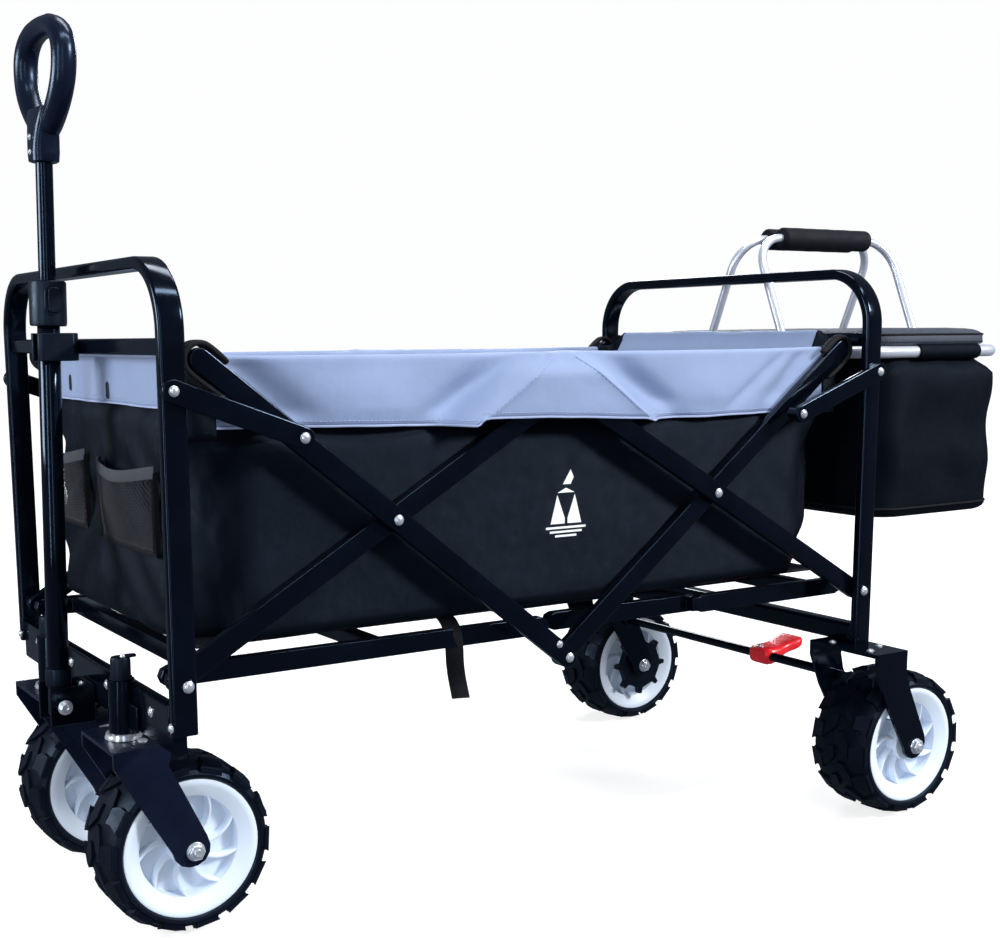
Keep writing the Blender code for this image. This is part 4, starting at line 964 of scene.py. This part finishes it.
def rim_column(p, hem, rows, proud, roll, inner_end, inner_rows):
    """A column of cloth that goes up a wall, over the rim and down inside."""
    neck = rim_height(p) - RIM_ROLL
    heights = [mix(hem, neck, i / rows) for i in range(rows + 1)]
    column = [placed(slanted(p, z), band_lift(slanted(p, z), z) + proud(z), z) for z in heights]
    p = slanted(p, neck)
    outer = band_lift(p, neck) + proud(neck)
    inner = inner_lift(p, neck) - max(0.0, proud(neck))
    for c, s in arc((0, 0), 1, 30, 150, 4):
        column.append(placed(p, mix(inner, outer, 0.5 + 0.5 * c), neck + roll * s))
    for i in range(inner_rows + 1):
        z = mix(neck, inner_end, i / inner_rows)
        column.append(placed(p, inner_lift(p, z) - max(0.0, proud(neck)), z))
    return column


def band_column(p):
    hem = band_hem(slanted(p, BAND_HEM))
    return rim_column(p, hem, 16, lambda z: -0.0008 * bell((z - hem) / 0.004), RIM_ROLL, hem + 0.006, 8)


def patch_column(p):
    """Like the band, a little prouder and down past the hem."""
    return rim_column(p, 0.4985, 10, lambda z: 0.0014, RIM_ROLL + 0.0014, 0.520, 5)


def cloth_column(p):
    column = [placed(p, cloth_lift(p, z), z) for z in run(0.536, 0.318, 0.218 / 29)]
    foot = cloth_lift(p, 0.318)
    for c, s in arc((0, 0), 0.0155, 15, 90, 5):
        column.append(placed(p, foot - 0.0155 + c, 0.318 - s))
    column.append(placed(p, foot - 0.030, 0.3025))
    return [pulled(p, point) for point in column]


def fold_up(obj):
    """Bake a bag piece's modifiers into its mesh and give the piece a mesh of its own."""
    if obj.modifiers:
        plain = obj.data
        solid = bpy.data.meshes.new_from_object(obj.evaluated_get(bpy.context.evaluated_depsgraph_get()))
        obj.modifiers.clear()
        obj.data = solid
        bpy.data.meshes.remove(plain)
    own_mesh(obj)


def make_walls():
    """The black cloth and the pale band, in one strip round three walls and one for the rear wall."""
    main_walls = ["bag_side_left", "bag_side_right", "bag_front_wall"]
    for part, points, body, length, tall, nodes in (
        ("main", main_perimeter(), "root", 2.14, 0.145, main_walls),
        ("rear", rear_perimeter(), "rear_frame", 0.50, 0.125, ["bag_rear_wall"]),
    ):
        cloth = piece(f"bag_cloth_{part}", skin(map(cloth_column, points)), BAG_CLOTH, body, 80, nodes)
        thicken(cloth, 0.0016)
        band = piece(f"bag_band_{part}", skin(map(band_column, points)), BAND_CLOTH, body, 80)
        thicken(band, 0.0012)
        bm = bmesh.new()
        path = []
        for p in points:
            p = slanted(p, BAND_HEM)
            z = band_hem(p)
            path.append(placed(p, band_lift(p, z) + 0.0002, z - 0.0002))
        tube(bm, path, stadium(0.0024, 0.0013, 4), Z)
        hem = piece(f"bag_hem_{part}", bm, HEM_CLOTH, body, 70)
        if part == "main":
            for obj in (cloth, band, hem):
                fold_up(obj)


def make_bag_floor():
    columns = []
    for i in range(111):
        column = []
        for j in range(57):
            u = i / 110
            v = j / 56
            x = mix(-0.412, 0.412, u)
            y = mix(-0.2085, 0.2085, v)
            panel = abs(math.sin(math.pi * 4 * u)) ** 0.25 * smoothstep(0, 0.06, min(u, 1 - u, v, 1 - v))
            column.append((x, y, 0.3052 + 0.0016 * panel + 0.0005 * folds(x, y, 16, 6)))
        columns.append(column)
    obj = piece("bag_floor_cloth", skin(columns), FLOOR_CLOTH, "root", 80, ["bag_floor"])
    thicken(obj, 0.0022)
    fold_up(obj)


def stitch(bm, a, b, normal, wide=0.0007, tall=0.0005):
    """One thread stitch lying on a face."""
    a = Vector(a)
    b = Vector(b)
    n = Vector(normal).normalized()
    across = (b - a).cross(n).normalized() * wide / 2
    rings = []
    for share, size, lift in ((0.0, 0.45, 0.1), (0.18, 1.0, 1.0), (0.82, 1.0, 1.0), (1.0, 0.45, 0.1)):
        point = a.lerp(b, share)
        rings.append([point - across * size - n * 0.0004, point - across * size * 0.6 + n * tall * lift,
                      point + across * size * 0.6 + n * tall * lift, point + across * size - n * 0.0004])
    loft(bm, rings)


def stitch_row(bm, places, proud):
    """Stitches on the band along a dense row of (place, height)."""
    points = [Vector(placed(p, band_lift(p, z) + proud, z)) for p, z in places]
    travelled = 0.0
    start = None
    for i in range(1, len(points)):
        travelled += (points[i] - points[i - 1]).length
        if start is None and travelled >= 0.0016:
            start = i
            travelled = 0.0
        elif start is not None and travelled >= 0.0032:
            stitch(bm, points[start], points[i], (*places[0][0][2:], 0.0))
            start = None
            travelled = 0.0


def make_stitching():
    """Thread rows over the hem and along the two slanting seams of each side."""
    hems = bmesh.new()
    seams = bmesh.new()
    for side in SIDES.values():
        hem = [(x, side * BAG_Y, 0, side) for x in run(-0.400, 0.400, 0.0008)]
        stitch_row(hems, [(p, band_hem(p) + 0.0045) for p in hem], 0.0001)
        for seam, shift in zip(SEAMS, (0.0018, -0.0018)):
            rows = run(0.5125, 0.5705, 0.0006)
            stitch_row(seams, [((seam_x(seam, z) + shift, side * BAG_Y, 0, side), z) for z in rows], 0.0003)
    fold_up(piece("bag_hem_stitches", hems, THREAD, "root", 30))
    fold_up(piece("bag_seam_stitches", seams, HEM_CLOTH, "root", 30))


def make_mark():
    """A plain mark, a tent over three lines with a small flame above it, printed on the near side."""
    shapes = [
        [(-0.020, 0.000), (-0.002, 0.000), (-0.002, 0.006), (-0.0115, 0.031)],
        [(0.002, 0.000), (0.020, 0.000), (0.0115, 0.031), (0.002, 0.006)],
        [(-0.011, 0.0335), (0.011, 0.0335), (0.000, 0.0385)],
        [(-0.004, 0.0425), (0.006, 0.0425), (0.0100, 0.0500), (0.0060, 0.0580)],
    ]
    lines = ((0.026, -0.0055, -0.0032), (0.021, -0.0100, -0.0078), (0.014, -0.0145, -0.0123))
    for reach, foot, top in lines:
        shapes.append([(-reach, foot), (reach, foot), (reach, top), (-reach, top)])
    bm = bmesh.new()
    for shape in shapes:
        places = [((0.012 + x, -BAG_Y, 0, -1), 0.392 + z) for x, z in shape]
        loft(bm, [[placed(p, cloth_lift(p, z) + out, z) for p, z in places] for out in (-0.0006, 0.0006)])
    fold_up(piece("bag_tent_mark", bm, PRINT, "root", 30))


def patch_points(way, side):
    """Perimeter points about one corner of the rim, from the side to the end wall."""
    points = [(way * x, side * BAG_Y, 0, side) for x in run(0.391, SIDE_END, 0.003)[:-1]]
    for u, v in arc((0, 0), 1, 90, 0, 8):
        x = SIDE_END + BAG_CORNER * u
        y = WALL_END + BAG_CORNER * v
        points.append((way * x, side * y, way * u, side * v))
    return points + [(way * BAG_X, side * y, way, 0) for y in run(WALL_END, WALL_END - 0.012, 0.003)[1:]]


def make_corners():
    """Black corner patches of the rim, each with a webbing loop round a link's tip."""
    for side_name, side in SIDES.items():
        for end, way in ENDS.items():
            columns = map(patch_column, patch_points(way, side))
            patch = piece(f"bag_corner_patch_{end}_{side_name}", skin(columns), BAG_CLOTH, HOME[end], 80)
            thicken(patch, 0.0012)
            if end == "front":
                fold_up(patch)
            make_tip_loop(end, way, side_name, side)


def make_tip_loop(end, way, side_name, side):
    inside = 0.2225
    outside = (OUTER_LAYER if end == "front" else INNER_LAYER)[1] + 0.0012
    tip = Vector((way * LINK_TIP_X, LOW_PIVOT[1] + LINK_TIP_X * SLOPE))
    along = Vector((way, SLOPE)).normalized()
    up = Vector((-along.y * way, along.x * way))
    reach = 0.0153
    places = [(-0.040, 0.002 - reach), (-0.020, -reach)] + arc((0, 0), reach, -90, 90, 14)
    places += [(-0.012, reach), (-0.026, reach - 0.001)]
    flat = [tip + along * u + up * v for u, v in places]
    bm = bmesh.new()
    path = [(p.x, side * (inside + outside) / 2, p.y) for p in flat]
    tube(bm, path, stadium(outside - inside, 0.0058, 5), Y)
    loop = piece(f"bag_tip_loop_{end}_{side_name}", bm, WEBBING, f"{end}_rim_links", 60)
    add(loop, "SUBSURF", levels=1, render_levels=1)


def make_eyelets():
    rims = bmesh.new()
    slits = bmesh.new()
    outline = stadium(0.0168, 0.0066, 6)
    for y, z in ((0.097, 0.546), (-0.026, 0.541)):
        p = (-BAG_X, y, -1, 0)
        centre = Vector(placed(p, band_lift(p, z), z))
        path = [centre + Vector((-0.0004, u, v)) for v, u in outline]
        tube(rims, path, stadium(0.0016, 0.0010, 3), X, closed=True)
        slit = [(u * 0.82, v * 0.92) for v, u in outline]
        loft(slits, [[centre + Vector((lift, u, v)) for u, v in slit] for lift in (0.0006, -0.0005)])
    piece("bag_eyelet_rims", rims, DARK_THREAD, "root", 50)
    piece("bag_eyelet_slits", slits, BLACK_PLASTIC, "root", 50)


def make_pocket(name, y0, y1, top, bottom):
    """A net cup pocket: a bound mouth that stands open above a bulging net."""

    def place(u, v):
        bow = math.sin(math.pi * u)
        out = 0.0015 + 0.0150 * bow ** 0.55 * (1 - 0.86 * v ** 2.2) + 0.0010 * folds(u, v, 5, y0)
        return (-BAG_X - out, mix(y0, y1, u), mix(top, bottom, v) - 0.008 * bow * (1 - v))

    across = 26
    down = 24
    bm = bmesh.new()
    rows = []
    for j in range(down + 1):
        shares = [min(1.0, (i + 0.5 * (j % 2)) / across) for i in range(across + 1)]
        rows.append([bm.verts.new(place(u, j / down)) for u in shares])
    for j in range(down - 1):
        for i in range(1, across):
            k = i + j % 2
            bm.faces.new((rows[j][i], rows[j + 1][k], rows[j + 2][i], rows[j + 1][k - 1]))
    net = piece(f"bag_pocket_net_{name}", bm, NET, "root", 60)
    add(net, "WIREFRAME", thickness=0.0009, use_even_offset=False, use_replace=True)
    bm = bmesh.new()
    tube(bm, [place(i / 30, 0) for i in range(31)], stadium(0.0125, 0.0026, 5), Z)
    piece(f"bag_pocket_mouth_{name}", bm, BINDING, "root", 60)
    bm = bmesh.new()
    for u in (0, 1):
        tube(bm, [place(u, i / 12) for i in range(13)], stadium(0.0016, 0.0070, 4), X)
    tube(bm, [place(i / 20, 1) for i in range(21)], stadium(0.0070, 0.0018, 4), Z)
    piece(f"bag_pocket_binding_{name}", bm, WEBBING, "root", 60)


def make_front_wall_details():
    make_eyelets()
    make_pocket("right", 0.010, -0.150, 0.466, 0.387)
    make_pocket("left", 0.172, 0.060, 0.470, 0.392)
    bm = bmesh.new()
    wall = [(-BAG_X, y, -1, 0) for y in run(0.196, -0.196, 0.0008)]
    stitch_row(bm, [(p, band_hem(p) + 0.0050) for p in wall], 0.0001)
    piece("bag_front_hem_stitches", bm, THREAD, "root", 30)


def make_strap():
    """The spare end of a floor strap, hanging below the far edge of the bag."""
    given = [(-0.132, -0.196, 0.3035), (-0.131, -0.205, 0.2990), (-0.128, -0.210, 0.2880),
             (-0.125, -0.209, 0.270), (-0.121, -0.204, 0.252), (-0.116, -0.199, 0.236),
             (-0.112, -0.197, 0.222), (-0.110, -0.198, 0.210)]
    given = [Vector(p) for p in given]
    path = []
    for before, a, b, after in zip(given[:1] + given, given, given[1:], given[2:] + given[-1:]):
        for t in (k / 6 for k in range(6)):
            path.append(0.5 * (2 * a + (b - before) * t + (2 * before - 5 * a + 4 * b - after) * t * t
                               + (3 * a - before - 3 * b + after) * t ** 3))
    bm = bmesh.new()
    tube(bm, path + given[-1:], stadium(0.0200, 0.0016, 3), (0.96, -0.28, 0))
    fold_up(piece("bag_floor_strap", bm, WEBBING, "root", 50))


def make_bag():
    make_walls()
    make_bag_floor()
    make_stitching()
    make_mark()
    make_corners()
    make_front_wall_details()
    make_strap()


# ---------------------------------------------------------------- basket

BASKET_SPREAD = 0.030


def super_ring(lo, hi, radius, z, inset=0, out=0, wave=0):
    """Rounded rectangle whose flanks can belly outward."""
    half_x = (hi[0] - lo[0]) / 2 - inset
    half_y = (hi[1] - lo[1]) / 2 - inset
    outline = round_outline(half_x, half_y, radius, 9)
    ring = []
    for a, b in zip(outline, outline[1:] + outline[:1]):
        count = max(1, round(math.dist(a, b) / 0.009))
        for k in range(count):
            x = mix(a[0], b[0], k / count)
            y = mix(a[1], b[1], k / count)
            belly_x = out * math.cos(math.pi / 2 * min(1.0, abs(y) / half_y)) ** 0.7
            belly_y = out * math.cos(math.pi / 2 * min(1.0, abs(x) / half_x)) ** 0.7
            dx = math.copysign(belly_x * smoothstep(half_x - radius, half_x, abs(x)), x)
            dy = math.copysign(belly_y * smoothstep(half_y - radius, half_y, abs(y)), y)
            ripple = 1 + wave * folds(x * 1.2 + 0.3 * z, y + z, 14, 21) / math.hypot(x, y)
            ring.append(((lo[0] + hi[0]) / 2 + x * ripple + dx, (lo[1] + hi[1]) / 2 + y * ripple + dy, z))
    return ring


def resample(ring, count):
    """Even points round a closed ring, starting where it starts."""
    points = [Vector(p) for p in ring]
    points.append(points[0])
    lengths = [0.0]
    for a, b in zip(points, points[1:]):
        lengths.append(lengths[-1] + (b - a).length)
    made = []
    k = 0
    for i in range(count):
        at = lengths[-1] * i / count
        while lengths[k + 1] < at:
            k += 1
        span = lengths[k + 1] - lengths[k]
        made.append(points[k].lerp(points[k + 1], (at - lengths[k]) / span if span else 0.0))
    return made


def make_basket():
    lo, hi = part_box("basket_bag")
    rim_lo, rim_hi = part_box("basket_rim")
    rim_z = (rim_lo.z + rim_hi.z) / 2
    radius = (rim_hi.z - rim_lo.z) / 2

    def shell_corners(spread):
        near = (lo.x + 0.001, lo.y + 0.001 - 0.45 * spread)
        return near, (hi.x - 0.001 + spread, hi.y - 0.001 + 0.45 * spread)

    rings = []
    for i in range(27):
        share = i / 26
        z = mix(rim_z + 0.002, lo.z + 0.010, share)
        out = 0.0045 * math.sin(math.pi * share ** 0.8) ** 0.8
        wave = 0.0085 * math.sin(math.pi * share) ** 0.7
        corners = shell_corners(BASKET_SPREAD * smoothstep(0.02, 0.16, share))
        rings.append(super_ring(*corners, 0.040, z, 0, out, wave))
    for c, s in arc((0, 0), 0.012, 18, 90, 4):
        rings.append(super_ring(*shell_corners(BASKET_SPREAD), 0.036, lo.z + 0.010 - s, 0.012 - c))
    centre = (lo + hi) / 2
    last = rings[-1]
    for share in (0.75, 0.5, 0.25, 0.05):
        rings.append([(mix(centre.x, p[0], share), mix(centre.y, p[1], share), lo.z - 0.002) for p in last])
    bm = bmesh.new()
    loft(bm, [resample(ring, 170) for ring in rings], caps=False)
    obj = piece("basket_shell", bm, BASKET_CLOTH, "basket", 80, ["basket_bag"], wagon=False)
    thicken(obj, 0.0022)
    bm = bmesh.new()
    ring = super_ring(*shell_corners(BASKET_SPREAD), 0.040, lo.z + 0.0100, 0, 0.0008)
    tube(bm, ring, circle(0.0016, 8), Z, closed=True)
    piece("basket_seam_piping", bm, WEBBING, "basket", 60, wagon=False)
    bm = bmesh.new()
    tube(bm, super_ring(rim_lo, rim_hi, 0.030, rim_z, radius), circle(radius, 24), Z, closed=True)
    piece("basket_rim_tube", bm, ALUMINIUM, "basket", 60, ["basket_rim"], wagon=False)
    make_rim_sleeves(rim_lo, rim_hi, rim_z, radius)
    make_basket_lid()
    for side_name, side in SIDES.items():
        make_basket_handle(side_name, side)


def make_rim_sleeves(lo, hi, z, radius):
    """Sleeves of the bag's cloth that wrap the rim at the middle of each side."""
    middle_x = (lo.x + hi.x) / 2 + 0.019
    runs = [((middle_x - 0.057, y), (middle_x + 0.057, y)) for y in (lo.y + radius, hi.y - radius)]
    runs += [((x, -0.125), (x, 0.125)) for x in (lo.x + radius, hi.x - radius)]
    bm = bmesh.new()
    for a, b in runs:
        path = [(mix(a[0], b[0], i / 24), mix(a[1], b[1], i / 24), z) for i in range(25)]
        tube(bm, path, circle(radius + 0.0026, 20), Z, scale=lambda t: 1 + 0.08 * folds(t, 0, 7, 5))
    piece("basket_rim_sleeves", bm, BASKET_CLOTH, "basket", 60, wagon=False)


def make_basket_lid():
    lo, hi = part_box("basket_lid")
    hi.x -= 0.008
    rings = []
    for inset, rise in (
        (0.0100, 0.0004), (0.0022, 0.0006), (0.0, 0.0028), (0.0, 0.0052), (0.0004, 0.0118), (0.0012, 0.0136),
        (0.0026, 0.0152), (0.0060, 0.0176), (0.0120, 0.0196), (0.0220, 0.0210), (0.0400, 0.0220),
    ):
        rings.append(super_ring(lo, hi, max(0.006, 0.034 - inset), lo.z + rise, inset))
    centre = (lo + hi) / 2
    last = rings[-1]
    for share in (0.75, 0.5, 0.25, 0.04):
        inner = [(mix(centre.x, p[0], share), mix(centre.y, p[1], share)) for p in last]
        top = last[0][2] + 0.0006 * (1 - share)
        rings.append([(x, y, top + 0.0010 * folds(x, y, 18, 2)) for x, y in inner])
    bm = bmesh.new()
    loft(bm, [resample(ring, 150) for ring in rings])
    obj = piece("basket_padded_lid", bm, LID_CLOTH, "basket_cover", 60, ["basket_lid"], wagon=False)
    bm = bmesh.new()
    edge = resample(super_ring(lo, hi, 0.033, lo.z + 0.0134, 0.0008), 180)
    tube(bm, edge, circle(0.0015, 8), Z, closed=True)
    piece("basket_lid_piping", bm, WEBBING, "basket_cover", 60, wagon=False)
    make_zip(lo, hi)


def make_zip(lo, hi):
    """Zip teeth round the lid's skirt and a puller at the middle of its outer side."""
    bm = bmesh.new()
    edge = resample(super_ring(lo, hi, 0.034, lo.z + 0.0038, 0.0002), 520)
    for a, b in zip(edge[::2], edge[1::2]):
        stitch(bm, a - Z * 0.0011, a + Z * 0.0011, (b - a).cross(Z), 0.0012, 0.0007)
    piece("basket_zip_teeth", bm, BLACK_PLASTIC, "basket_cover", 30, wagon=False)
    bm = bmesh.new()
    y = (lo.y + hi.y) / 2
    at = place_on((hi.x + 0.0003, y, lo.z + 0.0038), X)
    prism(bm, round_outline(0.0045, 0.0060, 0.002, 3), at, 0.0030, 0.0008)
    at = place_on((hi.x + 0.0030, y + 0.0125, lo.z + 0.0042), X)
    prism(bm, round_outline(0.0028, 0.0110, 0.0026, 3), at, 0.0014, 0.0005)
    piece("basket_zip_puller", bm, ZINC, "basket_cover", 40, wagon=False)


def make_basket_handle(side_name, side):
    """A bent wire with a round cap at each pivot and a foam sleeve."""
    lean = math.radians(22.5)
    foot = Vector((0, side * 0.075, 0.573))
    up = Vector((0, -side * math.sin(lean), math.cos(lean)))
    first = 0.478 + MIDDLE
    last = 0.735 + MIDDLE
    tall = 0.160
    corner = 0.045
    straight = tall - corner
    path = [(first, 0), (first, 0.02), (first, straight * 0.6)]
    path += arc((first + corner, straight), corner, 180, 90, 14)
    path += [(mix(first + corner, last - corner, i / 6), tall) for i in range(1, 6)]
    path += arc((last - corner, straight), corner, 90, 0, 14)
    path += [(last, straight * 0.6), (last, 0.02), (last, 0)]
    across = up.cross(X)
    bm = bmesh.new()
    tube(bm, [foot + X * x + up * h for x, h in path], circle(0.0055, 20), across)
    cap = [(0.0085, -0.0055), (0.0092, -0.0045), (0.0092, 0.0035), (0.0080, 0.0050), (0.0030, 0.0056)]
    for x, way in ((first, -1), (last, 1)):
        lathe(bm, cap, place_on((x, foot.y, foot.z), X * way), 24)
    body = f"basket_handle_{side_name[0]}"
    wire_name = f"basket_handle_{side_name}"
    piece(f"basket_handle_tube_{side_name}", bm, ALUMINIUM, body, 60, [wire_name], wagon=False)
    lo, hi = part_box(f"basket_grip_{side_name}")
    length = hi.x - lo.x
    profile = [(0.0056, 0.0), (0.0122, 0.0004), (0.0140, 0.0022)]
    for i in range(23):
        profile.append((0.0143 + 0.0003 * folds(i / 22, 0, 9, 4), mix(0.004, length - 0.004, i / 22)))
    profile += [(0.0140, length - 0.0022), (0.0122, length - 0.0004), (0.0056, length)]
    bm = bmesh.new()
    centre = foot + up * tall
    lathe(bm, profile, place_on((lo.x, centre.y, centre.z), X), 36, closed=True)
    grip_node = f"basket_grip_{side_name}"
    obj = piece(f"basket_grip_sleeve_{side_name}", bm, FOAM, body, 60, [grip_node], wagon=False)


# ---------------------------------------------------------------- studio


def area_light(name, place, target, size, power, color):
    light = bpy.data.lights.new(name, "AREA")
    light.shape = "RECTANGLE"
    light.size, light.size_y = size
    light.energy = power
    light.color = color
    obj = link(name, light)
    obj.location = place
    obj.rotation_euler = (Vector(place) - Vector(target)).to_track_quat("Z", "Y").to_euler()


def make_studio():
    world = bpy.data.worlds.new("studio")
    bpy.context.scene.world = world
    world.use_nodes = True
    tree = world.node_tree
    path = tree.nodes.new("ShaderNodeLightPath")
    background = tree.nodes["Background"]
    wire(tree, background, {"Color": (0.90, 0.94, 1.0, 1.0), "Strength": 0.42})
    shade = background.outputs[0]
    for ray, color, strength in (
        ("Is Glossy Ray", (0.62, 0.78, 1.0, 1.0), 0.16), ("Is Camera Ray", (0.985, 0.99, 0.99, 1.0), 1.0),
    ):
        layer = tree.nodes.new("ShaderNodeBackground")
        wire(tree, layer, {"Color": color, "Strength": strength})
        both = tree.nodes.new("ShaderNodeMixShader")
        wire(tree, both, {0: path.outputs[ray], 1: shade, 2: layer.outputs[0]})
        shade = both.outputs[0]
    wire(tree, tree.nodes["World Output"], {0: shade})
    wagon = (0, 0, 0.35)
    soft_blue = (0.95, 0.97, 1.0)
    strip_blue = (0.88, 0.93, 1.0)
    area_light("key", (2.3, -2.9, 2.3), wagon, (0.8, 0.7), 158, (0.97, 0.98, 1.0))
    area_light("front_fill", (-1.8, 0.35, 0.85), (-0.55, 0, 0.45), (0.6, 0.5), 17, soft_blue)
    area_light("top", (0.1, -1.4, 3.0), wagon, (2.8, 0.30), 50, soft_blue)
    area_light("over", (0.6, 0.6, 3.2), wagon, (2.0, 0.5), 34, soft_blue)
    area_light("edge_strip", (-3.1, -1.75, 0.9), (0, 0, 0.5), (0.30, 2.8), 34, strip_blue)
    area_light("tube_strip", (-1.5, -2.9, 0.9), (-0.6, 0, 0.6), (0.30, 2.6), 9, strip_blue)
    area_light("back", (2.0, 2.4, 1.9), wagon, (1.0, 0.6), 30, (0.93, 0.96, 1.0))
    bpy.context.scene.view_settings.view_transform = "Standard"


def make_floor():
    """A pale ground that glows toward the backdrop's white with distance."""
    bm = bmesh.new()
    rings = [[(u, v, -0.0002) for u, v in circle(radius, 72)] for radius in (0.05, 1.5, 4, 9, 30)]
    loft(bm, rings, caps=False)
    bmesh.ops.contextual_create(bm, geom=bm.verts[:72])
    mesh = bpy.data.meshes.new("floor")
    bm.to_mesh(mesh)
    bm.free()
    glow = {"Emission Color": (1.0, 1.0, 1.0, 1.0), "Emission Strength": 0.78}
    ground = finish("pale_floor", "floor", (0.40, 0.405, 0.41), 0.75, 0.01, 3, grain=[(400, 0.00005)], **glow)
    tree = ground.node_tree
    place = tree.nodes.new("ShaderNodeTexCoord")
    reach = tree.nodes.new("ShaderNodeVectorMath")
    reach.operation = "LENGTH"
    wire(tree, reach, {0: place.outputs["Object"]})
    fade = tree.nodes.new("ShaderNodeMapRange")
    wire(tree, fade, {"From Min": 1.0, "From Max": 3.5, "To Min": 0.80, "To Max": 0.985})
    wire(tree, fade, {"Value": reach.outputs["Value"]})
    wire(tree, tree.nodes["Principled BSDF"], {"Emission Strength": fade.outputs[0]})
    mesh.materials.append(ground)
    obj = link("studio_floor", mesh)
    obj.visible_glossy = False
    obj.visible_diffuse = False


def make_camera():
    """The camera, solved from the pivots, the wheels' centres and the ground line of the picture."""
    azimuth = math.radians(31.3313)
    pitch = math.radians(9.0745)
    roll = math.radians(-0.4572)
    reach = math.cos(pitch)
    ahead = Vector((math.sin(azimuth) * reach, math.cos(azimuth) * reach, -math.sin(pitch)))
    level = Vector((math.cos(azimuth), -math.sin(azimuth), 0))
    right = level * math.cos(roll) + level.cross(ahead) * math.sin(roll)
    camera = bpy.data.cameras.new("camera")
    camera.sensor_fit = "HORIZONTAL"
    camera.sensor_width = 36.0
    camera.lens = 36.0 * 1.405516
    camera.shift_x = 0.0668
    camera.shift_y = 0.0931
    obj = link("camera", camera)
    turn = Matrix((right, right.cross(ahead), -ahead)).transposed().to_4x4()
    obj.matrix_world = Matrix.Translation((-1.015, -1.4327, 0.5914)) @ turn
    bpy.context.scene.camera = obj


make_camera()
make_studio()
make_floor()
dress_frame()
make_hoops()
make_links()
make_wheels()
make_casters()
make_front_hardware()
make_handle_clip()
make_tow_tubes()
make_tow_collar()
make_tow_grip()
make_tow_foot()
make_brake()
make_bag()
make_basket()
